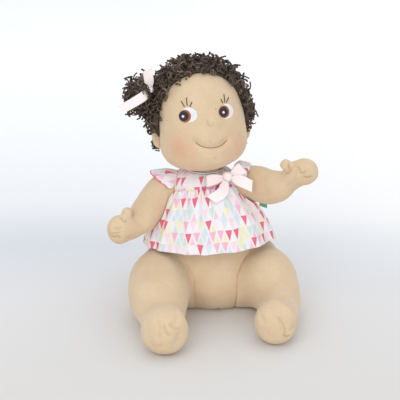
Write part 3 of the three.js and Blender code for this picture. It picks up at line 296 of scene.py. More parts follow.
# %% Cotton print
WHITE, YELLOW, MINT = linear(241, 238, 242), linear(242, 238, 188), linear(210, 230, 225)
PALE_PICKS = ((0, linear(243, 241, 246)), (0.34, linear(244, 202, 220)), (0.47, YELLOW),
              (0.62, linear(212, 229, 238)), (0.78, MINT), (0.9, WHITE))
BRIGHT_PICKS = ((0, linear(236, 104, 130)), (0.2, linear(243, 186, 208)), (0.34, YELLOW), (0.5, MINT),
                (0.62, linear(246, 222, 232)), (0.74, linear(216, 230, 238)), (0.82, WHITE))


def cotton_material(name):
    """White cotton with staggered rows of small triangles, bright ones that point down, paler ones up."""
    n = Finish(name)
    cloth = n.cloth()
    colour = WHITE
    for inside, pick in (triangles(n, cloth, 1, wide=0.82, tall=0.92, shift=0.5, colours=PALE_PICKS),
                         triangles(n, cloth, 0, wide=0.86, tall=0.9, shift=0.0, colours=BRIGHT_PICKS)):
        colour = n.mix(inside, colour, pick)
    place = n.place()
    colour = n.mix(n.math("MULTIPLY", n.noise(place, 60), 0.12), colour, linear(216, 210, 220))
    colour = n.mix(n.attribute("hem"), colour, linear(232, 104, 128))
    colour = n.mix(n.attribute("seam"), colour, linear(190, 168, 176))
    weave = n.math("ADD", n.sine(cloth[0], 15), n.sine(cloth[1], 15))
    normal = n.bump(weave, 0.18, 0.08)
    normal = n.bump(n.noise(place, 190, 3), 0.35, 0.5, normal)
    return n.surface(colour, 0.85, normal, Sheen_Weight=0.1, Specular_IOR_Level=0.3)


cotton = cotton_material("printed_cotton")
print("material", cotton.name)

# %% [markdown]
# ### Satin, thread and plain cloths
# Satin ribbon shines along its smooth face, embroidery is many threads side by side, and tape and
# elastic are plain weaves. Each could have a large tree of its own, but seen from this far they
# differ only in roughness, in two tones and in the direction of their fine ribs. So three short
# functions cover nine materials.

# %% Satin, thread and plain cloths
def satin_material(name, base, dark):
    """Woven ribbon: fine ribs across it, a deeper pink where a line is painted, and soft creases."""
    n = Finish(name)
    u, v = n.cloth()
    place = n.place()
    tone = n.mix(n.noise(place, 120), base, dark)
    # Where the seam value is painted, as along the inner loop's lower edge, the satin turns a deeper pink.
    tone = n.mix(n.attribute("seam"), tone, linear(226, 118, 138))
    normal = n.bump(n.math("ADD", n.sine(u, 30), n.math("MULTIPLY", n.sine(v, 22), 0.3)), 0.12, 0.05)
    normal = n.bump(n.noise(place, 300, 2), 0.25, 0.3, normal)
    return n.surface(tone, 0.45, normal, Sheen_Weight=0.3, Specular_IOR_Level=0.45)


def thread_material(name, light, dark, turns, roughness=0.55):
    """Satin stitch: threads that fan out from a piece's middle, in two tones."""
    n = Finish(name)
    u, _ = n.cloth()
    wobble = n.math("MULTIPLY", n.noise(n.place(), 900), 1.4)
    strand = n.math("SINE", n.math("ADD", n.math("MULTIPLY", u, turns), wobble))
    share = n.math("ADD", n.math("MULTIPLY", strand, 0.35), 0.5, True)
    return n.surface(n.mix(share, dark, light), roughness, n.bump(strand, 0.4, 0.15))


def plain_cloth(name, light, dark, scale=1600):
    """Tape or elastic: a fine plain weave in two close tones."""
    n = Finish(name)
    x, _, z = n.parts(n.place())
    tone = n.mix(n.noise(n.place(), scale, 2), dark, light)
    tone = n.mix(n.attribute("seam"), tone, dark)
    return n.surface(tone, 0.85, n.bump(n.math("ADD", n.sine(x, 9000), n.sine(z, 9000)), 0.25, 0.1))


# %% Nine plain finishes
satin = satin_material("blush_satin", linear(254, 244, 243), linear(249, 234, 236))
eye_white = thread_material("white_felt", linear(250, 250, 252), linear(228, 230, 236), 90)
iris_thread = thread_material("iris_thread", linear(206, 112, 62), linear(142, 66, 34), 110)
dark_thread = thread_material("dark_thread", linear(44, 42, 52), linear(18, 16, 24), 80, 0.45)
brown_thread = thread_material("brown_thread", linear(88, 62, 45), linear(58, 40, 30), 60)
smile_fibre = thread_material("smile_thread", linear(160, 118, 86), linear(128, 92, 64), 60)
closure_tape = plain_cloth("hook_tape", linear(245, 243, 244), linear(216, 212, 216))
label_tape = plain_cloth("green_tape", linear(134, 190, 152), linear(92, 152, 112))
band_cloth = plain_cloth("dark_elastic", linear(64, 54, 52), linear(30, 25, 24), 2600)
print("materials", len(bpy.data.materials))

# %% [markdown]
# ## Curves and surfaces
# A stuffed form has no flat side and no sharp edge: its outline is a smooth curve through a few
# measured places. Blender's curve objects could hold them, but the same places are needed again
# for seams and for cloth. So one function gives smooth values between the rows of a table, and
# another gives places and directions along a path.

# %% Smooth tables
def smooth_table(rows):
    """Smooth values through rows of a rising place and its values."""
    rows = np.array(rows, float)
    places = rows[:, 0]

    def at(place):
        place = np.clip(np.asarray(place, float), places[0], places[-1])
        k = np.clip(np.searchsorted(places, place) - 1, 0, len(rows) - 2)
        a, b = rows[k], rows[k + 1]
        before, after = rows[np.maximum(k - 1, 0)], rows[np.minimum(k + 2, len(rows) - 1)]
        span = b[..., :1] - a[..., :1]
        s = (place[..., None] - a[..., :1]) / span
        slope_a = (b - before)[..., 1:] / (b - before)[..., :1] * span
        slope_b = (after - a)[..., 1:] / (after - a)[..., :1] * span
        rise = (b - a)[..., 1:]
        bend = 3 * rise - 2 * slope_a - slope_b + s * (slope_a + slope_b - 2 * rise)
        return a[..., 1:] + s * (slope_a + s * bend)

    return at


print("a table's smooth value half way:", smooth_table([[0, 0], [1, 2], [2, 3]])(0.5))


# %% Smooth paths
def curve(points, steps):
    """Places and directions along a smooth curve through some points."""
    points = np.array(points, float)
    ends = np.vstack([2 * points[0] - points[1], points, 2 * points[-1] - points[-2]])
    places, ways = [], []
    for t in np.linspace(0, len(points) - 1, steps + 1):
        i = min(int(t), len(points) - 2)
        w = t - i
        p0, p1, p2, p3 = ends[i:i + 4]
        d0, d1, d2 = (max(math.sqrt(np.linalg.norm(q - p)), 1e-2) for p, q in ((p0, p1), (p1, p2), (p2, p3)))
        t1 = ((p1 - p0) / d0 - (p2 - p0) / (d0 + d1) + (p2 - p1) / d1) * d1
        t2 = ((p2 - p1) / d1 - (p3 - p1) / (d1 + d2) + (p3 - p2) / d2) * d1
        c2, c3 = 3 * (p2 - p1) - 2 * t1 - t2, 2 * (p1 - p2) + t1 + t2
        places.append(p1 + w * (t1 + w * (c2 + w * c3)))
        ways.append(t1 + w * (2 * c2 + 3 * w * c3))
    return np.array(places), unit(ways)


def unit(v):
    v = np.asarray(v, float)
    return v / np.maximum(np.linalg.norm(v, axis=-1, keepdims=True), 1e-9)


print("half way round a bend:", curve([(0, 0, 0), (1, 1, 0), (2, 0, 0)], 2)[0][1])

# %% [markdown]
# ### From loops to meshes
# A limb, a bag or an ear is closed and hollow, like a balloon. Each could be a primitive that is
# pushed about, but then its size would be hard to set. Here a form is a stack of loops, joined by
# faces and closed by a tip at each end. Where two forms run into each other, as a thigh into a
# hip, the Remesh modifier melts them into one skin. A Boolean union would leave a hard line there.


# %% Loops and caps
def grid_faces(rows, count, ring=True, closed_rows=False):
    """Faces over rows of points, each row closed on itself when ring is true."""
    faces = []
    for r in range(rows if closed_rows else rows - 1):
        low, high = r * count, ((r + 1) % rows) * count
        for i in range(count if ring else count - 1):
            j = (i + 1) % count
            faces.append((low + i, low + j, high + j, high + i))
    return faces


def capped(rows):
    """Points and faces of a closed form over loops of points, with a tip at each end."""
    rows = [np.asarray(row) for row in rows]
    count = len(rows[0])
    points = np.vstack(rows + [rows[0].mean(axis=0)[None], rows[-1].mean(axis=0)[None]])
    faces = grid_faces(len(rows), count)
    first, last, start = len(rows) * count, len(rows) * count + 1, (len(rows) - 1) * count
    faces += [(first, (i + 1) % count, i) for i in range(count)]
    faces += [(last, start + i, start + (i + 1) % count) for i in range(count)]
    return points, faces


print("a tube of 3 loops of 6 has", len(capped([np.eye(6)[:, :3]] * 3)[1]), "faces")


# %% Balls and tubes
def round_about(count):
    """Turns at even steps once round."""
    return np.linspace(0, 2 * math.pi, count, endpoint=False)


def ball(centre, half, across=48):
    """Points and faces of an ellipsoid."""
    turns, half = round_about(across), np.broadcast_to(half, 3)
    rows = []
    for a in np.linspace(0, math.pi, across // 2 + 2)[1:-1]:
        loop = [math.sin(a) * np.cos(turns), math.sin(a) * np.sin(turns), np.full(across, math.cos(a))]
        rows.append(np.array(centre) + half * np.stack(loop, axis=1))
    return capped(rows)


def tube(centres, ways, broad, thin, up_hint, count):
    """Oval loops along a path, the broad way turned towards a hint."""
    rows = []
    for centre, way, b, t in zip(centres, ways, broad, thin):
        up = unit(np.array(up_hint, float) - way * np.dot(up_hint, way))
        turns = round_about(count)
        beside = np.cross(way, up)
        rows.append(centre + np.outer(b * np.cos(turns), up) + np.outer(t * np.sin(turns), beside))
    return rows


print("a ball of 8 across has", len(ball((0, 0, 0), 1, 8)[1]), "faces")


# %% Mesh objects
def mesh_object(name, points, faces, material, smooth=True):
    """An object from points in millimetres, with faces that look outwards."""
    mesh = bpy.data.meshes.new(name)
    mesh.from_pydata((np.asarray(points) * MM).tolist(), [], faces)
    bm = bmesh.new()
    bm.from_mesh(mesh)
    bmesh.ops.recalc_face_normals(bm, faces=bm.faces)
    bm.to_mesh(mesh)
    bm.free()
    mesh.materials.append(material)
    mesh.shade_smooth() if smooth else mesh.shade_flat()
    obj = bpy.data.objects.new(name, mesh)
    bpy.context.scene.collection.objects.link(obj)
    return obj


def settle_modifiers(obj):
    """Turn an object's modifiers into its plain mesh."""
    depsgraph = bpy.context.evaluated_depsgraph_get()
    mesh = bpy.data.meshes.new_from_object(obj.evaluated_get(depsgraph), depsgraph=depsgraph)
    old = obj.data
    obj.modifiers.clear()
    obj.data = mesh
    mesh.name = obj.name
    bpy.data.meshes.remove(old)
    mesh.shade_smooth()


# %% Forms melted together
def fused(name, parts, material, voxel, rounds):
    """One skin over several closed forms that run into each other."""
    points, faces, start = [], [], 0
    for part_points, part_faces in parts:
        points.append(part_points)
        faces += [tuple(i + start for i in face) for face in part_faces]
        start += len(part_points)
    obj = mesh_object(name, np.vstack(points), faces, material)
    remesh = obj.modifiers.new("remesh", "REMESH")
    remesh.mode, remesh.voxel_size = "VOXEL", voxel * MM
    smooth = obj.modifiers.new("smooth", "SMOOTH")
    smooth.iterations, smooth.factor = rounds, 0.5
    settle_modifiers(obj)
    return obj


print("forms can be melted together")

# %% [markdown]
# ## Stuffing and stitching
# A hand-sewn seam pulls the knit in along a line, and the groove lies in shade. It could be cut
# with a sculpting brush, but no script repeats a brush stroke. Here every point knows its distance
# from the line and sinks by a bell curve of it, and the same curve is painted as a value that the
# material darkens: a painted shade in the groove. The lumps of the stuffing are smooth noise.
# Creases are given in pixels of the photograph, and a ray from the camera finds their places on the form.


# %% Points of a form
def points_of(obj):
    """A form's points in millimetres."""
    flat = np.empty(len(obj.data.vertices) * 3)
    obj.data.vertices.foreach_get("co", flat)
    return flat.reshape(-1, 3) / MM


def set_points(obj, points):
    """Put a form's points at places in millimetres."""
    obj.data.vertices.foreach_set("co", (np.asarray(points) * MM).ravel())
    obj.data.update()


def push(obj, heights):
    """Move each point along its normal."""
    normals = np.array([v.normal for v in obj.data.vertices])
    set_points(obj, points_of(obj) + normals * np.broadcast_to(heights, len(normals))[:, None])


def relax(obj, rounds, weights):
    """Smooth a form, each point as much as its weight allows."""
    points = points_of(obj)
    pairs = np.array([e.vertices[:] for e in obj.data.edges])
    count = np.bincount(pairs.ravel(), minlength=len(points))[:, None]
    for _ in range(rounds):
        total = np.zeros_like(points)
        np.add.at(total, pairs[:, 0], points[pairs[:, 1]])
        np.add.at(total, pairs[:, 1], points[pairs[:, 0]])
        points += 0.5 * weights[:, None] * (total / count - points)
    set_points(obj, points)


print("forms can be read, pushed and relaxed")


# %% Painted values and unevenness
def paint(obj, name, values):
    """Keep a value from 0 to 1 at each point, the greater one where there was one already."""
    layer = obj.data.attributes.get(name) or obj.data.attributes.new(name, "FLOAT", "POINT")
    old = np.empty(len(obj.data.vertices), dtype=np.float32)
    layer.data.foreach_get("value", old)
    layer.data.foreach_set("value", np.maximum(old, np.clip(values, 0, 1)).astype(np.float32))


def lumps(points, size, height, seed):
    """Soft unevenness of stuffing at each point."""
    shift = Vector((7.3 * seed, 1.7 * seed, 3.1 * seed))
    return np.array([noise.noise(Vector(p) / size + shift) for p in points]) * height


print("unevenness at a place:", lumps([(1.0, 2.0, 3.0)], 10, 1.0, 1).round(3))


# %% Stitching
def line_distance(points, line):
    """Distance of each point from a line, and how far along it the nearest place is."""
    best, along, start = np.full(len(points), 1e9), np.zeros(len(points)), 0.0
    for a, b in zip(line[:-1], line[1:]):
        length = np.linalg.norm(b - a)
        t = np.clip((points - a) @ (b - a) / max(length ** 2, 1e-9), 0, 1)
        gap = np.linalg.norm(points - (a + t[:, None] * (b - a)), axis=1)
        closer = gap < best
        best[closer], along[closer] = gap[closer], start + t[closer] * length
        start += length
    return best, along


def sew(obj, line, depth, width, dark=0.5, pitch=0.0):
    """Sink the surface along a line, in stitches of a pitch, and paint its bottom darker: painted shade in a
    groove, and the own dark of a small mark such as a mole.
    """
    near, along = line_distance(points_of(obj), np.asarray(line, float))
    stitch = 0.7 + 0.3 * np.cos(2 * math.pi * along / pitch) if pitch else 1.0
    push(obj, -depth * stitch * np.exp(-(near / width) ** 2))
    paint(obj, "seam", dark * np.exp(-(near / (0.6 * width)) ** 2))


print("distance of a place from a line:", line_distance(np.ones((1, 3)), np.zeros((2, 3)))[0].round(2))


# %% Gaps between forms
def tree_of(obj):
    """A search tree over a form's faces."""
    return BVHTree.FromPolygons(points_of(obj).tolist(), [tuple(p.vertices) for p in obj.data.polygons])


def gaps_to(tree, points):
    """Distance of each point from a form."""
    return np.array([tree.find_nearest(p)[3] for p in points])


print("gaps are measured to the nearest face")

# %% Places seen in the photograph
PIXEL = FRAME_WIDTH / IMAGE_PIXELS / CAMERA_DISTANCE
PICTURE_MIDDLE = IMAGE_PIXELS / 2


def seen_at(tree, places, lift=0.0):
    """Points of a form that show at places of the photograph, in pixels from its top left corner."""
    eye = camera.matrix_basis.to_translation() / MM
    right, up = Vector((1, 0, 0)), Vector((0, math.sin(ELEVATION), math.cos(ELEVATION)))
    found = []
    for across, down in places:
        aside = right * (across - PICTURE_MIDDLE) * PIXEL
        way = (-back + aside + up * (PICTURE_MIDDLE - down) * PIXEL).normalized()
        hit, normal, _, _ = tree.ray_cast(eye, way)
        if hit is not None:
            found.append(np.array(hit + normal * lift))
    return np.array(found)


def creases(obj, rows):
    """Sew lines seen at places of the photograph, each with its depth, width and darkness, the painted shade
    in its groove.
    """
    tree = tree_of(obj)
    for found, depth, width, dark in [(seen_at(tree, places), *rest) for places, *rest in rows]:
        if len(found) > 1:
            sew(obj, curve(found, 20)[0], depth, width, dark)


print("one pixel is", round(PIXEL * CAMERA_DISTANCE / MM, 2), "mm at the doll")


# %% Finishing a piece
def finish_piece(obj, body, *nodes, slot=None, fill=None, bend=None):
    """Ride a finished piece on its body, or, when bend places are given, only bake its place into its
    mesh and leave it unattached; then hide the CAD nodes that it stands for."""
    if bend:
        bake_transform(obj)
    else:
        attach(obj, body)
    if nodes:
        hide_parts(*nodes)
    print(obj.name, len(obj.data.polygons), "faces")


print("helpers ready")

# %% [markdown]
# ## Torso
# The torso is a leaning pear of knit, stuffed with wool and weighted at the seat. It could be
# sculpted freely, but then it would not fit the CAD solid, whose hollows leave room for the legs.
# So the mesh starts from that solid, melted smooth, and its outer points are drawn onto the pear's
# exact surface. The stuffing, the seam down the back and a short notch at the front are pressed in
# last.

# %% Torso profile
TORSO_HEIGHT, BELLY_HALF_WIDTH, BELLY_HALF_DEPTH, TORSO_LEAN = 125, 50, 44, 9
# Columns: share of the height, then of the half width and the half depth.
torso_profile = smooth_table([
    [-0.02, 0.77, 0.72], [0.0, 0.8, 0.75], [0.063, 0.92, 0.9], [0.16, 0.99, 0.985], [0.254, 1.0, 1.0],
    [0.365, 0.97, 0.985], [0.476, 0.9, 0.95], [0.595, 0.78, 0.9], [0.714, 0.66, 0.83],
    [0.833, 0.6, 0.75], [0.889, 0.56, 0.69], [0.929, 0.5, 0.61], [0.96, 0.42, 0.51],
    [0.984, 0.33, 0.39], [1.0, 0.24, 0.27]])


def torso_point(turn, height, offset=0.0):
    """Places on the torso at turns from the front and heights, stood off by some distance."""
    turn, height = np.broadcast_arrays(np.asarray(turn, float), np.asarray(height, float))
    share = height / TORSO_HEIGHT
    wide, deep = np.moveaxis(torso_profile(share), -1, 0)
    x = -TORSO_LEAN * share + (wide * BELLY_HALF_WIDTH + offset) * np.sin(turn)
    y = -(deep * BELLY_HALF_DEPTH + offset) * np.cos(turn)
    return np.stack([x, y, height], axis=-1)


print("the torso is", round(2 * BELLY_HALF_WIDTH), "mm wide at", round(0.254 * TORSO_HEIGHT), "mm")


# %% Trimming a form
def cad_points(name):
    """Points and faces of a CAD node."""
    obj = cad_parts[name]
    points = np.array([obj.matrix_world @ v.co for v in obj.data.vertices]) / MM
    return points, [tuple(p.vertices) for p in obj.data.polygons]


def draw_to_torso(obj, within):
    """Bring points that are near the torso's smooth surface onto it, and tell which they are."""
    points = points_of(obj)
    share = points[:, 2] / TORSO_HEIGHT
    wide, deep = np.moveaxis(torso_profile(share), -1, 0)
    x = points[:, 0] + TORSO_LEAN * share
    out = np.maximum(np.hypot(x / (wide * BELLY_HALF_WIDTH), points[:, 1] / (deep * BELLY_HALF_DEPTH)), 0.1)
    near = (np.abs(out - 1) * BELLY_HALF_DEPTH * deep < within) & (points[:, 2] > 0.5)
    points[near, 0] += (x / out - x)[near]
    points[near, 1] /= out[near]
    set_points(obj, points)
    return near


def on_floor(obj):
    """Lift what is below the floor onto it."""
    points = points_of(obj)
    points[:, 2] = np.maximum(points[:, 2], 0)
    set_points(obj, points)


print("the CAD torso has", len(cad_points("torso")[0]), "points")

# %% Torso form
BELLY_PUSH, BELLY_LEVEL, BELLY_RISE, BELLY_REACH = 7, 20, 19, 30
NOTCH_TURN = 0.09


def belly_fill(points):
    """How far the stuffing pushes the belly forward between the thighs."""
    x, y, z = np.moveaxis(points, -1, 0)
    swell = np.exp(-((z - BELLY_LEVEL) / BELLY_RISE) ** 2 - (x / BELLY_REACH) ** 2)
    return BELLY_PUSH * swell * np.clip((-y - 20) / 12, 0, 1)


torso = fused("torso_form", [cad_points("torso")], skin, 1.4, 2)
outside = draw_to_torso(torso, 1.0)
push(torso, outside * (0.25 + lumps(points_of(torso), 22, 0.5, 1)))
points = points_of(torso)
points[:, 1] -= belly_fill(points)
set_points(torso, points)
relax(torso, 3, outside * 1.0)
on_floor(torso)
# The back seam and the front notch are sunk, and their grooves are painted darker as shade.
back_seam = torso_point(math.pi, np.linspace(2, 118, 60), 0.3)
sew(torso, back_seam, depth=0.9, width=1.0, dark=0.35, pitch=3.2)
notch = torso_point(NOTCH_TURN, np.linspace(0, 3.5, 8), 0.3)
notch[:, 1] -= belly_fill(notch)
sew(torso, notch, depth=1.0, width=0.9, dark=0.7)
print("torso", len(torso.data.polygons), "faces")

# %% [markdown] ## Legs Each leg is a tube of the same knit with a ball of a foot, sewn on at the
# hip and bent forward on the floor. Its middle line and thickness are given at about fifteen
# stations. Where thigh and belly meet, the real knit runs on from one to the other with only a
# thin seam between them.

# %% Legs, measured
THIGH_RADIUS, HIP_HALF_SPAN, HIP_ROOT_HALF_WIDTH, KNEE_SPREAD, FLOOR_CUT = 28, 39, 22, 10, 0.5
LEG_REACH = {RIGHT: 120, LEFT: 101}
# Columns: share of the leg's reach, of its spread, and of the thigh's radius.
LEG_SHARES = {
    RIGHT: ((0.03, 0.0, 0.86), (0.14, 0.4, 0.95), (0.27, 0.85, 1.0), (0.42, 1.0, 0.99), (0.57, 0.95, 0.92),
            (0.7, 0.75, 0.79), (0.8, 0.58, 0.67), (0.88, 0.47, 0.66), (0.95, 0.4, 0.71), (1.02, 0.36, 0.72),
            (1.09, 0.34, 0.63), (1.135, 0.33, 0.47), (1.16, 0.33, 0.25), (1.165, 0.33, 0.05)),
    LEFT: ((0.03, 0.0, 0.86), (0.14, 0.3, 0.95), (0.27, 0.6, 1.0), (0.37, 1.05, 0.93), (0.48, 1.5, 0.78),
           (0.59, 1.7, 0.68), (0.7, 1.66, 0.63), (0.8, 1.52, 0.61), (0.88, 1.4, 0.62), (0.95, 1.3, 0.65),
           (1.02, 1.25, 0.65), (1.09, 1.22, 0.57), (1.14, 1.2, 0.42), (1.165, 1.2, 0.22), (1.17, 1.2, 0.05))}


print("leg stations", {side: len(rows) for side, rows in LEG_SHARES.items()})


# %% Limbs and hip webs
def limb(places, broad, thin, steps=40, count=40):
    """Points and faces of a smooth tube through a limb's stations."""
    centres, ways = curve(places, steps)
    sizes, _ = curve(np.stack([broad, thin, np.zeros(len(broad))], axis=1), steps)
    sizes = np.maximum(sizes, 0.35)
    return capped(tube(centres, ways, sizes[:, 0], sizes[:, 1], (0, 0, 1), count))


WEB_SEAM = {RIGHT: -17, LEFT: 19}
WEB_HEIGHT, WEB_TURN, WEB_RISE, WEB_DEPTH, WEB_COUNT = 60, 1.35, 24, 9, 24


def hip_web(side):
    """The skin that runs from a thigh over the belly's front to the seam beside the seat."""
    rows = []
    for height in np.linspace(0.8, WEB_HEIGHT, 34):
        wide = float(torso_profile(height / TORSO_HEIGHT)[0]) * BELLY_HALF_WIDTH
        drift = 0.04 * (height - 3) + 0.55 * max(height - 36, 0)
        seam = WEB_SEAM[side] + side * drift + TORSO_LEAN * height / TORSO_HEIGHT
        start, end = math.asin(seam / wide), side * WEB_TURN
        share = np.linspace(0, 1, WEB_COUNT)
        turn = start + share * (end - start)
        rise = WEB_RISE * (1 - (height / 66) ** 2)
        front = torso_point(turn, height, 0.0)
        beside = torso_point(turn, height, 1.0) - front
        over = front + beside * (0.3 + rise * share ** 0.75)[:, None]
        over[:, 1] -= belly_fill(front) * (1 - share)
        rows.append(np.vstack([over, (front - beside * WEB_DEPTH)[::-1]]))
    return capped(rows)


print("a hip web has", len(hip_web(LEFT)[0]), "points")

# %% Legs
SEAM_SHADE, SEAM_REACH = 0.16, 0.9


def shade_beside(obj, other):
    """Paint a little shade onto a form where another one lies against it."""
    gaps = gaps_to(tree_of(other), points_of(obj))
    paint(obj, "seam", SEAM_SHADE * np.exp(-(gaps / SEAM_REACH) ** 2))


legs, torso_tree = {}, tree_of(torso)
for side, word in SIDES:
    rows = LEG_SHARES[side]
    foot = next(r for f, _, r in rows if f > 1)
    places = np.array([
        (side * (HIP_HALF_SPAN + out * KNEE_SPREAD), -forward * LEG_REACH[side],
         (foot if forward > 1 else r) * THIGH_RADIUS - FLOOR_CUT) for forward, out, r in rows])
    radii = np.array([r for _, _, r in rows]) * THIGH_RADIUS
    hip = (side * HIP_HALF_SPAN, 0, THIGH_RADIUS - FLOOR_CUT)
    root = ball(hip, (HIP_ROOT_HALF_WIDTH, THIGH_RADIUS, THIGH_RADIUS))
    parts = [cad_points(f"{word}_leg"), root, limb(places, radii, radii), hip_web(side)]
    leg = fused(f"{word}_leg_form", parts, skin, voxel=1.2, rounds=1)
    draw_to_torso(leg, 0.8)
    free = np.clip((gaps_to(torso_tree, points_of(leg)) - 1.2) / 5, 0.04, 1)
    relax(leg, 60, free)
    push(leg, 0.5 + free * (0.1 + lumps(points_of(leg), 20, 0.55, 2 + side)))
    on_floor(leg)
    shade_beside(leg, torso)
    legs[side] = leg
    print(word, "leg", len(leg.data.polygons), "faces")

# %% [markdown]
# ### Toes and hip seams
# The toes aren't separate: a thread pulled through the foot divides it into soft cushions.
# Modelled toes would look carved, so the lines of the thread are creases on the finished foot,
# where the photograph shows them, with a painted shade in each groove. A negative depth raises a
# cushion instead. A faint painted shade darkens the skin where a leg lies against the torso, since
# shadow gathers in the seam between them.

# %% Toes
# Each row: places in pixels, then depth and width in millimetres, and darkness, the painted shade in the
# crease.
creases(legs[RIGHT], [
    ([(178, 312), (181, 318)], -1.8, 5, 0),
    ([(181, 336), (178, 344)], 3.0, 6, 0),
    ([(146, 322), (147, 336)], 2.0, 6, 0),
    ([(164, 326), (166, 332), (170, 336)], 1.7, 1.5, 0.18),
    ([(171, 324), (175, 328.4), (181.5, 329.4)], 1.9, 1.6, 0.18),
    ([(158, 322), (160, 330), (159.4, 336.5)], 1.1, 1.7, 0.1),
    ([(174, 309), (176.5, 317), (175, 324)], 1.2, 1.8, 0.1),
    ([(150, 343), (155, 347.5), (162, 346)], 0.8, 1.7, 0.08)])
creases(legs[LEFT], [
    ([(278.6, 318), (284.6, 326), (286.2, 332.4)], 1.9, 1.6, 0.2),
    ([(270.2, 306), (273.8, 316)], 1.2, 1.8, 0.1),
    ([(284, 335.6), (287.5, 337.4), (290.6, 335.8)], 1.8, 1.3, 0.36),
    ([(289, 331), (294, 326)], 1.1, 1.6, 0.12),
    ([(271, 300.6), (279, 302.6), (287, 308.5), (295, 318)], -1.5, 2.6, 0),
    ([(261, 316), (265, 323)], 0.9, 2.0, 0.07),
    ([(266, 334), (270, 337)], 1.5, 5, 0)])
print("feet creased")

# %% Hip seams
GROIN_START, GROIN_END = (16, -30, 28), (44, -58, 28)
for side, word in SIDES:
    shade_beside(torso, legs[side])
    groin = [(side * x, y, z) for x, y, z in (GROIN_START, GROIN_END)]
    finish_piece(legs[side], f"{word}_leg", f"{word}_leg", slot="skin_knit", fill=0.85, bend=groin)
finish_piece(torso, "torso", "torso", slot="skin_knit", fill=0.8)

# %% [markdown]
# ## Arms
# The arms are stuffed tubes that end in a mitten of a hand with a thumb, and pulled thread marks
# the fingers. The Skin modifier could grow such a limb from a few edges, but its thickness is hard
# to set in millimetres. So the arms are made as the legs are: a table of stations gives each tube,
# and a second, shorter tube is fused on as the thumb.

# %% Arms, measured
SHOULDER_HALF_SPAN, SHOULDER_HEIGHT, SHOULDER_TILT = 32, 105.5, math.radians(4.5)
ARM_ROOT_RADIUS, ARM_LENGTH, ARM_HALF_BREADTH, ARM_HALF_DEPTH = 14.5, 82, 16, 14
THUMB_RADIUS, THUMB_LENGTH, THUMB_ROOT_SHARE = 4.6, 12, 0.33
# Columns: outwards, forwards and up as shares of the length, then shares of breadth and depth.
ARM_SHARES = {
    LEFT: ((0.0, 0.0, 0.0, 0.93, 0.96), (0.09, 0.01, 0.01, 0.96, 1.0), (0.19, 0.06, 0.012, 1.0, 1.0),
           (0.29, 0.13, 0.006, 0.97, 0.98), (0.4, 0.22, 0.05, 0.84, 0.92), (0.5, 0.3, 0.14, 0.63, 0.74),
           (0.58, 0.36, 0.23, 0.69, 0.74), (0.65, 0.4, 0.27, 0.73, 0.72), (0.72, 0.43, 0.3, 0.62, 0.6),
           (0.765, 0.45, 0.32, 0.36, 0.35), (0.78, 0.455, 0.325, 0.05, 0.05)),
    RIGHT: ((0.0, 0.0, 0.0, 0.93, 0.96), (0.08, 0.02, -0.01, 0.9, 1.0), (0.16, 0.1, -0.07, 0.83, 1.0),
            (0.24, 0.22, -0.16, 0.8, 1.0), (0.32, 0.34, -0.24, 0.75, 0.94), (0.4, 0.43, -0.28, 0.62, 0.76),
            (0.475, 0.5, -0.275, 0.72, 0.72), (0.54, 0.55, -0.27, 0.8, 0.72), (0.6, 0.58, -0.27, 0.66, 0.6),
            (0.635, 0.6, -0.27, 0.38, 0.35), (0.645, 0.605, -0.27, 0.05, 0.05))}
PALM = 6
# Columns: share of the thumb's length, and of its radius.
THUMB_SHARES = ((0.0, 0.8), (0.35, 0.95), (0.7, 1.0), (0.92, 0.75), (1.0, 0.15))
THUMB_AIM = {LEFT: unit((-0.75, -0.1, 0.65)), RIGHT: unit((0.12, 0.1, 1))}


print("thumbs point along", THUMB_AIM[LEFT].round(2), THUMB_AIM[RIGHT].round(2))


# %% Arm stations
def shoulder_place(side):
    """Middle of the ball that an arm turns on."""
    lean = -TORSO_LEAN * SHOULDER_HEIGHT / TORSO_HEIGHT
    return np.array([lean + side * SHOULDER_HALF_SPAN * math.cos(SHOULDER_TILT), 0,
                     SHOULDER_HEIGHT + side * SHOULDER_HALF_SPAN * math.sin(SHOULDER_TILT)])


def arm_stations(side):
    """Places and half sizes along an arm."""
    rows = np.array(ARM_SHARES[side])
    places = shoulder_place(side) + ARM_LENGTH * rows[:, :3] * (side, -1, 1)
    return places, rows[:, 3] * ARM_HALF_BREADTH, rows[:, 4] * ARM_HALF_DEPTH


def arm_parts(side, extra=0.0):
    """The ball and the tube of an arm, made fatter by some distance."""
    places, broad, thin = arm_stations(side)
    root = ball(shoulder_place(side), ARM_ROOT_RADIUS + extra)
    return [root, limb(places, broad + extra, thin + extra)]


print("left shoulder at", shoulder_place(LEFT).round(1), "mm")

# %% Hands and arms
# Rows as for the toes; the darkness is painted shade in each crease.
hand_creases = {
    RIGHT: [([(114.6, 228), (117.5, 229), (121, 228.2)], 1.4, 1.1, 0.18),
            ([(109.5, 233.4), (114, 234.2), (119.6, 232.6)], 1.5, 1.1, 0.21),
            ([(110, 236.6), (114.5, 237.4), (118, 236.6), (119.6, 238.6)], 1.8, 1.1, 0.34),
            ([(120.6, 212.5), (121.6, 217), (124.4, 221), (127, 220.4)], 1.6, 1.1, 0.23),
            ([(128, 238), (131.5, 236.6)], 0.9, 1.4, 0.11)],
    LEFT: [([(300, 172.2), (302, 173.2), (304.4, 172.4)], 1.6, 1.1, 0.30),
           ([(304.2, 177.2), (306.6, 178.2), (311, 177)], 1.8, 1.1, 0.39),
           ([(297, 167), (299, 169.2)], 1.2, 1.1, 0.18),
           ([(289.4, 165), (289.4, 171), (285, 173.8)], 1.8, 1.1, 0.25),
           ([(292, 183), (294, 179)], 0.7, 1.4, 0.09),
           ([(287, 187), (290, 184.5)], 0.7, 1.4, 0.09)],
}
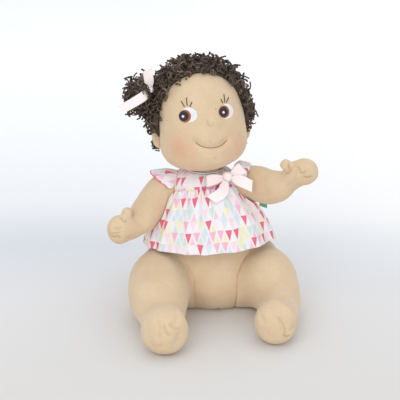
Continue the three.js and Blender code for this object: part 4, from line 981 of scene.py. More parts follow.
for side, word in SIDES:
    places, broad, _ = arm_stations(side)
    base = places[PALM] + THUMB_AIM[side] * THUMB_ROOT_SHARE * broad[PALM]
    length = (1 - THUMB_ROOT_SHARE) * broad[PALM] + THUMB_LENGTH - THUMB_RADIUS
    thumb = np.array([base + THUMB_AIM[side] * rise * length for rise, _ in THUMB_SHARES])
    thick = np.array([r for _, r in THUMB_SHARES]) * THUMB_RADIUS
    parts = arm_parts(side) + [limb(thumb, thick, thick, 16, 24)]
    arm = fused(f"{word}_arm_form", parts, skin, voxel=0.9, rounds=8)
    points = points_of(arm)
    push(arm, 0.35 + lumps(points, 14, 0.4, 5 + side) + lumps(points, 6, 0.15, 8 + side))
    creases(arm, hand_creases[side])
    finish_piece(arm, f"{word}_arm", f"{word}_arm", slot="skin_knit", fill=0.85)

# %% [markdown]
# ## Head
# The head is an egg whose widest level is at the cheeks, turned and tipped a little. A needle and
# thread pulled through the stuffing give it nose, eye hollows and cheeks. A subdivided cube could
# be sculpted to this, but here each direction from the head's middle has one reach, with soft
# bumps added to it. That makes it easy to put anything else on the head: an eye, a lash or a lock
# of hair is placed by its direction.

# %% Directions on the head
HEAD_HALF_WIDTH, HEAD_HALF_DEPTH, CROWN_RISE, CHIN_DROP = 38.5, 38, 63, 24
HEAD_PLACE = np.array([-1 - TORSO_LEAN, -5, TORSO_HEIGHT + 1.4 + CHIN_DROP])
HEAD_TURN = np.array(Matrix.Rotation(math.radians(-6.5), 3, "Y") @ Matrix.Rotation(math.radians(8), 3, "Z"))


def on_head(points):
    """Scene places of places in the head's own frame."""
    return HEAD_PLACE + np.asarray(points) @ HEAD_TURN.T


def look_along(aside, up):
    """Directions from the head's middle, in degrees from straight ahead and from the cheek level."""
    aside, up = np.radians(aside), np.radians(up)
    level = np.cos(up)
    return np.stack([level * np.sin(aside), -level * np.cos(aside), np.sin(up) + 0 * aside], axis=-1)


EYE_AIM = {LEFT: look_along(33.4, 41.1), RIGHT: look_along(-23.1, 43.9)}
EAR_AIM = {LEFT: look_along(104, 1), RIGHT: look_along(-97, 10)}
nose, muzzle, chin = (look_along(9, 34.5), 5, 3.2), (look_along(4, 15), 15, 2.2), (look_along(5, -14), 9, 1.0)
cheeks = [(look_along(44, 12), 13, 1.0), (look_along(-38, 15), 13, 1.0)]
hollows = [(EYE_AIM[LEFT], 11, -0.9), (EYE_AIM[RIGHT], 11, -0.9)]
relief = [nose, muzzle, *hollows, *cheeks, chin]
print("bumps on the head", len(relief))


# %% The head's surface


def head_point(ways, offset=0.0):
    """Places of the head's surface in its own frame, stood off by some distance."""
    ways = unit(ways)
    level = np.hypot(ways[..., 0] / HEAD_HALF_WIDTH, ways[..., 1] / HEAD_HALF_DEPTH)
    above = ways[..., 2] > 0
    power = np.where(above, 2.7, 2.5)
    rise = np.abs(ways[..., 2]) / np.where(above, CROWN_RISE, CHIN_DROP)
    reach = (level ** power + rise ** power) ** (-1 / power)
    for aim, radius, height in relief:
        away = np.arccos(np.clip(ways @ aim, -1, 1)) * HEAD_HALF_DEPTH / radius
        reach = reach + height * np.exp(-away ** 2)
    return ways * np.asarray(reach + offset)[..., None]


print("the crown is", round(on_head(head_point(look_along(0, 90)))[2], 1), "mm above the floor")

# %% Head form
NECK_RADIUS, NECK_GAP, HEAD_COUNT = 12, 0.7, 260
neck_place, up_way = on_head([0, 0, -CHIN_DROP]), HEAD_TURN[:, 2]
turns = round_about(HEAD_COUNT)
# The columns stand closer together on the face, where the detail is.
asides = np.degrees(turns - 0.35 * np.sin(turns))
rows = []
for up in np.linspace(-88.5, 88.5, 180):
    rows.append(on_head(head_point(look_along(asides, np.full(HEAD_COUNT, up)))))
points, faces = capped(rows)
beside = points - neck_place
lift = beside @ up_way
aside = np.linalg.norm(beside - lift[:, None] * up_way, axis=1)
cup = np.sqrt(np.maximum((NECK_RADIUS + NECK_GAP) ** 2 - aside ** 2, 0))
in_cup = (lift < cup) & (aside < NECK_RADIUS + NECK_GAP)
points[in_cup] += ((cup - lift)[:, None] * up_way)[in_cup]
head = mesh_object("head_form", points, faces, skin)
push(head, np.where(in_cup, 0, lumps(points, 17, 0.45, 11) + lumps(points, 6, 0.12, 12)))
print("head", len(faces), "faces")

# %% [markdown]
# ### Smile, nose and blush
# The mouth is one thread pulled tight, so that the cheeks puff out beside it, and the blush is dry
# colour rubbed on. A texture could show both, but a flat smile would vanish from the side. So the
# line is sunk in the surface twice, wide and soft, then narrow and darkened by painted shade in its
# groove, and the blush is a painted value that fades with the distance from the middle of each
# cheek. The same value also lays a painted shade under the chin.

# %% Smile and nose
SMILE = [(195.2, 141.2), (197.8, 144.2), (203.4, 146.9), (210.8, 147.9), (218, 146.8),
         (223.8, 143.6), (227.2, 139.8)]
# Their darkness is painted shade in the grooves and dimples of the smile, nose and chin; the last row is a
# mole in its own dark colour.
creases(head, [
    (SMILE, 1.5, 3.8, 0.0),
    (SMILE, 1.5, 2.0, 0.34),
    ([(201, 146.4), (210.8, 148), (219.5, 146)], 0.7, 1.2, 0.45),
    ([(210.4, 141), (210.7, 144.5), (210.9, 148)], 0.9, 1.0, 0.22),
    ([(193.4, 139.6), (195.4, 141.4)], 0.6, 1.0, 0.12),
    ([(226.8, 140.2), (228.6, 137.6)], 0.6, 1.0, 0.12),
    ([(207.2, 121), (207.6, 124.4), (209.8, 126.6), (213.2, 125.2)], 0.9, 0.9, 0.24),
    ([(214.4, 157.6), (216.6, 159.6)], 0.6, 0.9, 0.16),
    ([(204.8, 137.4), (205.3, 138.2)], 0.5, 0.6, 0.28),
    ([(215.5, 108.8), (216.1, 109)], 0.25, 0.55, 0.85)])
# Faint lines on both cheeks, each sunk a little with a faint painted shade in it.
creases(head, [([(230 + k, 134 + 2.4 * k), (240.5 - 0.5 * k, 131.6 + 2.2 * k)], 0.25, 0.7, 0.07)
               for k in range(6)])
creases(head, [([(178 + 2 * k, 131 + 2.6 * k), (188 + k, 130 + 2.6 * k)], 0.2, 0.8, 0.05)
               for k in range(4)])
print("smile drawn through", len(SMILE), "places")

# %% Blush and painted shade under the chin
points = points_of(head)
blush_and_chin_shade = 0
for aim, size, strength in ((look_along(-39.1, 6.5), 12.5, 0.5), (look_along(44.2, -3), 12, 0.36)):
    away = np.linalg.norm(points - on_head(head_point(aim)), axis=1)
    blush_and_chin_shade = blush_and_chin_shade + strength * np.exp(-(away / size) ** 2)
# The head's underside below the chin takes a little of the blush colour as a painted shade.
chin_shade = np.clip((-18 - (points - HEAD_PLACE) @ up_way) / 9 + 1, 0, 1)
paint(head, "blush_and_chin_shade", np.maximum(blush_and_chin_shade, 0.2 * chin_shade))
finish_piece(head, "head", "head", slot="skin_knit", fill=0.95)
head_tree = tree_of(head)

# %% [markdown]
# ## Neck and ears
# The head turns on a small stuffed ball, which is almost hidden. An ear is a flat cushion of two
# layers of knit with a stitched rim. A squashed sphere would do from afar, but it has no rim. So
# an ear is made of ovals that grow over its front and shrink over its back, with a hollow pressed
# into the front and a seam along the rim.

# %% Neck
neck = mesh_object("neck_form", *ball(neck_place, NECK_RADIUS, 64), skin)
push(neck, lumps(points_of(neck), 7, 0.15, 14))
finish_piece(neck, "neck", "neck", slot="skin_knit", fill=0.95)

# %% Ears
EAR_REACH, EAR_HALF_HEIGHT, EAR_HALF_THICKNESS, EAR_COUNT = 6.4, 10, 2.4, 72
RIM_REACH, RIM_DEPTH, RIM_HALF_HEIGHT = 5.8, -2.2, 8.6
for side, word in SIDES:
    foot = head_point(EAR_AIM[side])
    turn, shell = round_about(EAR_COUNT), []
    for face_side in (-1, 1):
        shares = np.linspace(0.04, 1, 26)[::-face_side]
        for share in shares:
            hollow = 0.9 * math.exp(-((share - 0.3) / 0.28) ** 2) if face_side < 0 else 0
            y = face_side * (EAR_HALF_THICKNESS * math.sqrt(max(1 - share ** 4, 0)) - hollow)
            across = side * share * EAR_REACH * np.cos(turn)
            up = share * EAR_HALF_HEIGHT * np.sin(turn)
            shell.append(foot + np.stack([across, np.full(EAR_COUNT, y), up], axis=1))
    points, faces = capped(shell)
    inner = head_point(points, 0.35)
    sunk = np.linalg.norm(points, axis=1) < np.linalg.norm(inner, axis=1)
    points[sunk] = inner[sunk]
    ear = mesh_object(f"{word}_ear_form", on_head(points), faces, skin)
    push(ear, lumps(points, 5, 0.25, 16 + side))
    rim = []
    for a in np.linspace(-1.7, 1.7, 40):
        beside = (side * RIM_REACH * math.cos(a), RIM_DEPTH, RIM_HALF_HEIGHT * math.sin(a))
        rim.append(on_head(foot + np.array(beside)))
    sew(ear, rim, depth=0.5, width=0.6, dark=0.25, pitch=2.4)
    finish_piece(ear, "head", f"{word}_ear", slot="skin_knit")

# %% [markdown]
# ## Eyes
# The eyes are embroidered in four layers, a white, an iris, a pupil and a glint, each slightly
# raised by its threads. They could be flat discs, but the face is curved, and a disc would stand
# off at its edges. So each patch is made of ovals that lie on the head itself, raised over their
# middle. Its cloth coordinates run round the oval, so that the threads of its material fan out.

# %% Cloth coordinates
def set_uv(obj, values, period=None):
    """Give each point its cloth coordinates; a period mends the faces that cross a ring's start."""
    layer = obj.data.uv_layers.get("cloth") or obj.data.uv_layers.new(name="cloth")
    for face in obj.data.polygons:
        us = [values[i][0] for i in face.vertices]
        top = max(us)
        for loop, vertex, u in zip(face.loop_indices, face.vertices, us):
            if period and top - u > period / 2:
                u += period
            layer.data[loop].uv = (u, values[vertex][1])


print("cloth coordinates go into the UV map named cloth")


# %% Patches on the head
def near_aim(aim, across, up, offset=0.0):
    """Places of the head's surface some millimetres from an aim, across and up."""
    east = unit([-aim[1], aim[0], 0])
    east = east if east[0] > 0 else -east
    north = np.cross(east, aim)
    north = north if north[2] > 0 else -north
    beside = head_point(aim) + np.multiply.outer(across, east) + np.multiply.outer(up, north)
    return on_head(head_point(beside, offset))


PATCH_COUNT, PATCH_FLOOR = 64, (1, 0.5, 0.04)


def patch(name, aim, shift, half, low, dome, material):
    """A padded oval of satin stitch on the head, domed over its middle."""
    turn, shares = round_about(PATCH_COUNT), np.linspace(0.04, 1, 14)

    def loop(s, offset):
        across = shift[0] + s * half[0] * np.cos(turn)
        up = shift[1] + s * half[1] * np.sin(turn)
        return near_aim(aim, across, up, offset)

    rows = [loop(s, low + dome * (1 - s ** 2.4) ** 0.6) for s in shares]
    rows += [loop(s, low - 0.25) for s in PATCH_FLOOR]
    obj = mesh_object(name, *capped(rows), material)
    along, out = np.tile(turn, len(rows)), np.repeat(np.append(shares, PATCH_FLOOR), PATCH_COUNT)
    uv = np.stack([along, out], axis=1)
    set_uv(obj, np.vstack([uv, [[0, 0], [0, 0]]]), 2 * math.pi)
    return obj


print("the face below the left eye is at", near_aim(EYE_AIM[LEFT], 0.0, -6.0).round(1))

# %% Eyes
EYE_HALF, IRIS, PUPIL, GLINT, FLATNESS = (8.1, 5.6), 5.7, 4.5, 1.2, 0.82
for side, word in SIDES:
    glance = {LEFT: -0.36, RIGHT: -0.38}[side] * EYE_HALF[0]
    aside, drop = glance - 0.9, {LEFT: 0.05, RIGHT: -0.15}[side] * EYE_HALF[1]
    iris, pupil, glint = ((half, FLATNESS * half) for half in (IRIS, PUPIL, GLINT))
    # Columns: piece, shift and half size, how far it stands off and swells, material and slot.
    layers = (("eye_white", (0, 0), EYE_HALF, 0.35, 0.55, eye_white, "white_felt"),
              ("iris", (glance, drop), iris, 0.8, 0.5, iris_thread, "brown_thread"),
              ("pupil", (aside, drop), pupil, 1.25, 0.55, dark_thread, "dark_thread"),
              ("eye_glint", (aside - 0.5, drop - 0.3), glint, 1.8, 0.35, eye_white, "white_felt"))
    for part, shift, half, low, dome, material, slot in layers:
        piece = patch(f"{word}_{part}_form", EYE_AIM[side], shift, half, low, dome, material)
        finish_piece(piece, "head", f"{word}_{part}", slot=slot)

# %% [markdown]
# ### Lashes and smile thread
# Three straight stitches of brown thread lie over each eye, and a finer thread lies in the smile.
# A curve with a round bevel would be quick, but it has no twist and blunt ends. Here a small tube
# follows the path, swells and thins like twisted plies, and tapers where it dives into the knit.


# %% Stitched threads
def thread(name, path, radius, material, count=10, twist=5.0):
    """A stitched thread with a slight twist, tapered at both ends."""
    steps = max(len(path) * 8, 24)
    centres, ways = curve(path, steps)
    share, turn = np.linspace(0, 1, steps + 1), round_about(count)
    thick = radius * np.minimum(1, 0.35 + 6 * np.minimum(share, 1 - share))
    rows = tube(centres, ways, thick, thick, (0, -1, 0.2), count)
    for k, row in enumerate(rows):
        swell = 1 + 0.16 * np.cos(2 * turn + twist * 2 * math.pi * share[k])
        rows[k] = centres[k] + (row - centres[k]) * swell[:, None]
    obj = mesh_object(name, *capped(rows), material)
    set_uv(obj, [(10 * a / count, 20 * b) for b in share for a in range(count)] + [(0, 0), (0, 20)], 10)
    return obj


print("threads can be laid along any path")

# %% Lashes and smile thread
LASHES = {
    LEFT: ([(222.6, 103.4), (220.6, 98.8)], [(224.6, 102.8), (223.6, 94)], [(226, 102.8), (228.6, 97)]),
    RIGHT: ([(184.8, 107), (181.2, 100.8)], [(187.3, 106.2), (186.6, 97.4)], [(189.8, 107), (192.2, 101.6)]),
}
for side, word in SIDES:
    for number, line in enumerate(LASHES[side], 1):
        lash = thread(f"{word}_lash_{number}_form", seen_at(head_tree, line, 0.4), 0.38, brown_thread)
        finish_piece(lash, "head", f"{word}_lash_{number}", slot="brown_thread")
smile_path = curve(seen_at(head_tree, SMILE, 0.0), 24)[0]
smile_thread = thread("smile_stitch_form", smile_path, 0.34, smile_fibre, count=8, twist=30)
finish_piece(smile_thread, "head", "smile_stitch", slot="brown_thread")

# %% [markdown]
# ## Hair
# The hair is a sewn cap of curly mohair pile, with a tuft tied up on one side. Blender's hair
# particles could draw its thousands of fibres, but an export loses them. So the look is built from
# two things: a lumpy base that closes every gap, painted dark as the shade deep in the pile, and
# spiral locks over it. One material serves both, and each lock carries its own tone.

# %% Hair material
def hair_material(name):
    """Mohair: brown locks, each of its own tone, streaked with paler fibres, with the base painted darkest as
    shade in the depth.
    """
    n = Finish(name)
    place = n.place()
    # A mesh with no lock tone, such as the base, reads 0 and takes the darkest stop: painted shade in the
    # depth of the pile.
    tone = n.ramp(n.attribute("lock_tone"), ((0.0, linear(46, 35, 29)), (0.4, linear(72, 57, 48)),
                                            (0.8, linear(98, 81, 70)), (1.0, linear(134, 115, 101))))
    tone = n.mix(n.math("MULTIPLY", n.noise(place, 130, 3, 0.6), 0.45), tone, linear(52, 40, 34))
    fibre = n.noise(place, 3400, 2, 0.7)
    tone = n.mix(n.math("MULTIPLY", fibre, 0.25), tone, linear(136, 114, 99))
    return n.surface(tone, 0.6, n.bump(fibre, 0.5, 0.3), Sheen_Weight=0.06, Specular_IOR_Level=0.35)


hair_pile = hair_material("curly_pile")
print("material", hair_pile.name)

# %% [markdown]
# ### Base of the cap
# The cap's edge runs over the brow, down beside the ears and round the nape. A piece of the head
# could be copied and thickened, but its edge would be stepped. So loops run from the hair's pole
# to a smooth edge, given by one table of how far the hair reaches in each direction. The base
# thins towards that edge, and noise makes it as uneven as pressed pile.

# %% Hair cap base
HAIR_POLE = unit((0, 0.766, 0.643))
HAIR_BASE, CAP_ROWS, CAP_COUNT = 6.5, 46, 150
hair_edge = smooth_table([[0, 0.644], [0.222, 0.733], [0.322, 0.833], [0.422, 0.944], [0.489, 0.822],
                          [0.572, 0.833], [0.628, 0.911], [0.694, 0.8], [0.789, 0.678], [1, 0.6]])


def hair_layer(share, offset):
    """A loop of places over the head at a share of the way from the hair's pole to its edge."""
    about = np.linspace(0, 360, CAP_COUNT, endpoint=False)
    from_pole = share * 90 * hair_edge(np.minimum(about, 360 - about) / 180)[..., 0]
    front = np.array([0, -HAIR_POLE[2], HAIR_POLE[1]])
    a, b = np.radians(from_pole)[:, None], np.radians(about)[:, None]
    aside = np.cross(HAIR_POLE, front)
    way = HAIR_POLE * np.cos(a) + front * np.sin(a) * np.cos(b) + aside * np.sin(a) * np.sin(b)
    return on_head(head_point(way, offset))


outer = [hair_layer(s, HAIR_BASE * (1 - 0.8 * s ** 8)) for s in np.linspace(0.02, 0.985, CAP_ROWS)]
inner = [hair_layer(s, 0.5) for s in (1.0, 0.8, 0.5, 0.2, 0.02)]
hair_base = mesh_object("hair_base", *capped(outer + inner), hair_pile)
points = points_of(hair_base)
on_outside = np.arange(len(points)) < CAP_ROWS * CAP_COUNT
push(hair_base, on_outside * (lumps(points, 7, 2.4, 21) + lumps(points, 3, 1.0, 22)))
print("cap base", len(hair_base.data.polygons), "faces")

# %% [markdown]
# ### Base of the tuft
# The tuft is narrow where the band ties it and swells to a slightly flat pompon. It could be a
# squashed sphere, but then the band would have no neck to hold. So it is made as a vase is turned:
# a table gives its radius at each share of its length. The base stays well inside the solid,
# because the locks fill the rest.

# %% Tuft base
TUFT_COUNT, LOCK_ROOM, BASE_SHARE = 64, 6.5, 0.82
TAIL_LENGTH, TAIL_RADIUS, TAIL_NECK, TAIL_DEPTH = 27, 19.5, 0.23, 0.72
tail_root = on_head(head_point(look_along(-97, 49), 6))
tail_aim = unit((-1, -0.12, 0.16))
tail_up = unit(np.array([0, 0, 1]) - tail_aim * tail_aim[2])
tail_shape = smooth_table([[0.0, 0.4], [TAIL_NECK, 0.4], [0.32, 0.72], [0.45, 0.95], [0.65, 1.0],
                           [0.85, 0.84], [0.97, 0.5], [1.0, 0.1]])


def tail_row(rise, reach, count=TUFT_COUNT):
    """A loop of places round the tuft."""
    turn = round_about(count)
    return (tail_root + tail_aim * rise + np.outer(reach * np.cos(turn), tail_up)
            + np.outer(TAIL_DEPTH * reach * np.sin(turn), np.cross(tail_aim, tail_up)))


rises = np.linspace(0, 1, 40)
reaches = tail_shape(rises)[:, 0] * TAIL_RADIUS - np.where(rises > 0.3, LOCK_ROOM, 0.3)
rows = [tail_row(r * TAIL_LENGTH * BASE_SHARE, max(reach, 1.0)) for r, reach in zip(rises, reaches)]
tuft_base = mesh_object("tuft_base", *capped(rows), hair_pile)
past_neck = np.append(np.repeat(np.clip((rises - 0.25) * 6, 0, 1), TUFT_COUNT), (0, 0))
push(tuft_base, past_neck * lumps(points_of(tuft_base), 6, 2.6, 24))
print("tuft base", len(tuft_base.data.polygons), "faces")

# %% [markdown]
# ### Spiral locks
# Each lock is a small spiral of felted fibre. Thousands of them can't be placed by hand, and this
# is what Geometry Nodes are for. The tree spreads points over the base, makes one spiral tube,
# sets a copy on each point with its own turn, size and tone, and gives them the material.
# Instances would be lighter, but an export drops them, so the tree ends by making them real. Its
# sizes are named inputs, and its seed is fixed, so that every run grows the same curls.


# %% Trees with named inputs
def tree_with_inputs(name, inputs):
    """A Geometry Nodes tree with named inputs, and the identifier of each input."""
    group = bpy.data.node_groups.new(name, "GeometryNodeTree")
    group.interface.new_socket("Geometry", in_out="INPUT", socket_type="NodeSocketGeometry")
    identifiers = {}
    for label, value in inputs.items():
        kind = "NodeSocketInt" if isinstance(value, int) else "NodeSocketFloat"
        socket = group.interface.new_socket(label, in_out="INPUT", socket_type=kind)
        socket.default_value = value
        identifiers[label] = socket.identifier
    group.interface.new_socket("Geometry", in_out="OUTPUT", socket_type="NodeSocketGeometry")
    return group, identifiers


def adder(group):
    """A short way to add a node with its values, links and settings."""

    def add(kind, values, **settings):
        node = group.nodes.new(kind)
        for key, value in settings.items():
            setattr(node, key, value)
        for key, value in values.items():
            if isinstance(value, bpy.types.NodeSocket):
                group.links.new(value, node.inputs[key])
            else:
                node.inputs[key].default_value = value
        return node.outputs

    return add


print("a tree's sizes are named inputs")


# %% One lock
def spiral_lock(add, source):
    """A spiral tube that tapers at its end, sized by the tree's inputs."""
    spiral = add("GeometryNodeCurveSpiral", {
        "Resolution": 12, "Rotations": source["Turns"], "Start Radius": source["Start radius"],
        "End Radius": source["End radius"], "Height": source["Height"]})
    along = add("GeometryNodeSplineParameter", {})
    taper = add("ShaderNodeMapRange", {0: along[0], 1: 0.6, 2: 1.0, 3: 1.0, 4: 0.4})
    strand = add("GeometryNodeSetCurveRadius", {"Curve": spiral[0], "Radius": taper[0]})
    ring = add("GeometryNodeCurvePrimitiveCircle", {"Resolution": 4, "Radius": source["Thread radius"]})
    return add("GeometryNodeCurveToMesh", {"Curve": strand[0], "Profile Curve": ring[0]})[0]


print("a lock is a spiral with a ring swept along it")


# %% Locks over a base
def fill_lock_tree(group, seed, lean):
    """Nodes that scatter spiral locks over the incoming mesh."""
    add = adder(group)

    def chance(low, high, shift):
        values = {2: low, 3: high, "Seed": seed + shift}
        return add("FunctionNodeRandomValue", values, data_type="FLOAT")[1]

    source = add("NodeGroupInput", {})
    room = add("GeometryNodeInputNamedAttribute", {"Name": "hair_room"}, data_type="FLOAT")
    amount = add("ShaderNodeMath", {0: source["Locks per square metre"], 1: room[0]}, operation="MULTIPLY")
    spread = add("GeometryNodeDistributePointsOnFaces",
                 {"Mesh": source["Geometry"], "Density": amount[0], "Seed": source["Seed"]})
    turn = add("FunctionNodeRandomValue",
               {"Min": (-lean, -lean, 0.0), "Max": (lean, lean, 6.28), "Seed": seed + 1},
               data_type="FLOAT_VECTOR")
    turned = add("FunctionNodeRotateRotation", {"Rotation": spread["Rotation"], "Rotate By": turn[0]},
                 rotation_space="LOCAL")
    placed = add("GeometryNodeInstanceOnPoints", {
        "Points": spread["Points"], "Instance": spiral_lock(add, source), "Rotation": turned[0],
        "Scale": chance(0.7, 1.2, 2)})
    toned = add("GeometryNodeStoreNamedAttribute",
                {"Geometry": placed[0], "Name": "lock_tone", "Value": chance(0.2, 1.0, 3)},
                data_type="FLOAT", domain="INSTANCE")
    real = add("GeometryNodeRealizeInstances", {0: toned[0]})
    coated = add("GeometryNodeSetMaterial", {"Geometry": real[0], "Material": hair_pile})
    add("NodeGroupOutput", {0: coated[0]})


print("locks keep their seeds, so they grow alike in every run")


# %% Scattering
def scatter_locks(name, base, node, seed, density, radius, height, turns, thick, lean):
    """A piece of spiral locks over a base; radius, height and thread radius are in millimetres."""
    inputs = {"Seed": seed, "Locks per square metre": float(density), "Turns": turns,
              "Start radius": radius * 0.45 * MM, "End radius": radius * MM, "Height": height * MM,
              "Thread radius": thick * MM}
    group, identifiers = tree_with_inputs(name, inputs)
    fill_lock_tree(group, seed, lean)
    # The base lends its mesh, and the tree puts the locks in its place.
    obj = bpy.data.objects.new(name, base.data.copy())
    bpy.context.scene.collection.objects.link(obj)
    modifier = obj.modifiers.new("locks", "NODES")
    modifier.node_group = group
    for label, value in inputs.items():
        modifier[identifiers[label]] = value
    settle_modifiers(obj)
    finish_piece(obj, "head", node, slot="curly_pile")


print("each base gets several pieces of locks")

# %% Room for the locks
points = points_of(hair_base)
room = on_outside * 1.0
for side, _ in SIDES:
    away = np.linalg.norm(points - on_head(head_point(EAR_AIM[side])), axis=1)
    room *= np.clip((away - 8) / 6, 0, 1)
away = np.linalg.norm(points - tail_root - tail_aim * 2, axis=1)
room *= np.clip((away - 8.5) / 2, 0, 1) * (1 + 0.9 * np.exp(-((away - 12) / 6) ** 2))
paint(hair_base, "hair_room", room / 1.9)
past_band = np.repeat(np.clip((rises - 0.2) * 10, 0, 1), TUFT_COUNT)
paint(tuft_base, "hair_room", np.append(past_band, (0, 1)))
finish_piece(hair_base, "head", "hair_cap", slot="curly_pile")
finish_piece(tuft_base, "head", "ponytail", slot="curly_pile")

# %% Spiral locks
# Columns: name, base, CAD node, seed, locks per square metre, then a lock's radius, height, turns,
# thread radius and lean.
LOCKS = (
    ("hair_locks_long", hair_base, "hair_cap", 3, 62000, 2.5, 9.0, 1.2, 0.78, 0.8),
    ("hair_locks_loops", hair_base, "hair_cap", 14, 68000, 2.3, 6.0, 1.45, 0.72, 1.1),
    ("hair_locks_hooks", hair_base, "hair_cap", 31, 60000, 3.0, 7.0, 0.75, 0.78, 1.0),
    ("tuft_locks_long", tuft_base, "ponytail", 25, 64000, 2.6, 8.5, 1.2, 0.74, 0.8),
    ("tuft_locks_loops", tuft_base, "ponytail", 47, 70000, 2.8, 6.0, 1.0, 0.74, 1.1))
for row in LOCKS:
    scatter_locks(*row)

# %% [markdown]
# ## Dress
# The dress is thin printed cotton: a plain bodice, a skirt gathered onto a high waist, a bound
# neck and flutter sleeves. A cloth simulation could drape it, but it is hard to steer to a
# photograph. So the folds are sums of waves round the body, strongest where the cloth is gathered,
# and the cloth is kept outside the torso by measuring how deep it would lie in it.

# %% Dress, measured
DRESS_EASE, CLOTH = 1.2, 0.8
WAIST_HEIGHT, WAIST_RISE, NECKLINE = 103, 10, TORSO_HEIGHT - 2
HEM_HEIGHT, HEM_RISE, HEM_HALF_WIDTH, HEM_HALF_DEPTH, HEM_FORWARD_SHIFT = 57, 4.5, 59, 55, -3
FOLD_COUNT, HEM_TILT = 15, 3
flare_shares = smooth_table([[0, 0], [0.25, 0.3], [0.6, 0.68], [1, 1]])
gather_shares = smooth_table([[0, 0.35], [0.15, 1], [0.5, 0.9], [1, 0.75]])


def waist_height(turn):
    """Height of the waist seam, which is higher in front and follows the tilt of the shoulders."""
    half_width = float(torso_profile(WAIST_HEIGHT / TORSO_HEIGHT)[0]) * BELLY_HALF_WIDTH
    return WAIST_HEIGHT + WAIST_RISE * np.cos(turn) + math.tan(SHOULDER_TILT) * half_width * np.sin(turn)


def outwards(turn):
    """Level directions away from the torso's middle line."""
    return np.stack([np.sin(turn), -np.cos(turn), 0 * turn], axis=-1)


print("waist seam", waist_height(0.0).round(1), "mm high in front,", waist_height(math.pi).round(1), "behind")


# %% The skirt's surface
def skirt_point(turn, share, offset=0.0):
    """Places on the skirt, from the waist seam at 0 to the hem at 1."""
    seam = waist_height(turn) + 0.7
    top = torso_point(turn, seam, DRESS_EASE + offset)
    flare, gather = flare_shares(share)[..., 0], gather_shares(share)[..., 0]
    # The folds wander a little, and are deepest where the bow gathers the front.
    wander = turn + 0.06 * np.sin(3 * turn + 1.0) + 0.04 * np.sin(7 * turn)
    centre = np.exp(-((turn - 0.12) / 0.5) ** 2) * np.exp(-2.2 * share)
    waves = (0.75 * np.cos(FOLD_COUNT * wander) + 0.6 * np.cos(8 * turn + 0.7 + 0.5 * share)
             + 0.45 * np.cos(23 * wander + 2.1))
    fold = gather * waves * (1.25 + 1.2 * centre)
    gathers = (0.5 + 0.5 * centre) * np.exp(-share * 6) * (0.8 + np.cos(57 * turn + 2 * np.sin(5 * turn)))
    hem_line = -0.35 * np.exp(-((share - 0.935) / 0.014) ** 2)
    corner = 2.5 * np.exp(-((turn + 1.35) / 0.35) ** 2)
    half_width = HEM_HALF_WIDTH - CLOTH + offset + corner
    hem_x = -TORSO_LEAN * HEM_HEIGHT / TORSO_HEIGHT + half_width * np.sin(turn)
    hem_y = HEM_FORWARD_SHIFT - (HEM_HALF_DEPTH - CLOTH + offset) * np.cos(turn)
    hem_z = HEM_HEIGHT + 1 + HEM_RISE * np.cos(turn) + HEM_TILT * np.sin(turn)
    hem = np.stack([hem_x, hem_y, hem_z], axis=-1)
    level = top + flare[..., None] * (hem - top)
    level[..., 2] = seam + share * (hem[..., 2] - seam)
    # Wherever the cloth would lie inside the torso, it is moved out onto it.
    on_torso = torso_point(turn, level[..., 2], DRESS_EASE + offset)
    inside = np.sum((on_torso - level) * outwards(turn), axis=-1)
    reach = fold + np.maximum(inside + np.abs(fold), 0) + gathers + hem_line - 0.6 * np.exp(-share / 0.012)
    return level + outwards(turn) * reach[..., None]


print("hem at the front", skirt_point(np.array(0.0), np.array(1.0)).round(1), "mm")


# %% Sheets of cloth
def sheet_object(name, points, uv, material, thick=0.6, inward=False):
    """A thickened cloth over rows of points, with its cloth coordinates in millimetres."""
    rows, count, _ = points.shape
    points, uv = points.reshape(-1, 3), uv.reshape(-1, 2)
    faces = grid_faces(rows, count, ring=False)
    mesh = bpy.data.meshes.new(name)
    mesh.from_pydata((points * MM).tolist(), [], faces)
    mesh.materials.append(material)
    obj = bpy.data.objects.new(name, mesh)
    bpy.context.scene.collection.objects.link(obj)
    set_uv(obj, uv)
    face = mesh.polygons[len(faces) // 2]
    if np.array(face.normal) @ (np.array(face.center) / MM - points.mean(axis=0)) < 0:
        mesh.flip_normals()
    solid = obj.modifiers.new("thick", "SOLIDIFY")
    solid.thickness, solid.offset = thick * MM, -1 if inward else 0
    settle_modifiers(obj)
    return obj


def cloth_lengths(points, axis):
    """Distance along the cloth from its first row or column."""
    steps = np.linalg.norm(np.diff(points, axis=axis), axis=-1)
    first = np.zeros_like(np.take(steps, [0], axis=axis))
    return np.cumsum(np.concatenate([first, steps], axis=axis), axis=axis)


print("a sheet is thickened by the Solidify modifier")

# %% Armholes
cutters = [fused("cutter", arm_parts(side, 1.0), skin, 1.5, 0) for side, _ in SIDES]


def cut_armholes(obj):
    """Take the arms' room out of a cloth and keep its largest shell."""
    for cutter in cutters:
        cut = obj.modifiers.new("armhole", "BOOLEAN")
        cut.operation, cut.solver, cut.object = "DIFFERENCE", "EXACT", cutter
        settle_modifiers(obj)
    bm = bmesh.new()
    bm.from_mesh(obj.data)
    left, shells = set(bm.verts), []
    while left:
        stack, shell = [left.pop()], []
        while stack:
            vert = stack.pop()
            shell.append(vert)
            beyond = {edge.other_vert(vert) for edge in vert.link_edges} & left
            left -= beyond
            stack += beyond
        shells.append(shell)
    shells.sort(key=len)
    bmesh.ops.delete(bm, geom=[v for shell in shells[:-1] for v in shell], context="VERTS")
    bm.to_mesh(obj.data)
    bm.free()


print("armhole cutters", len(cutters))

# %% [markdown]
# ### Bodice
# The bodice lies flat on the chest. A simulated cloth would only settle onto the torso, so the
# bodice is made as the torso's own surface at once, stood off by the dress's ease and the cloth's
# thickness, with a slight unevenness. The Boolean modifier cuts its armholes with slightly fatter
# copies of the arms.

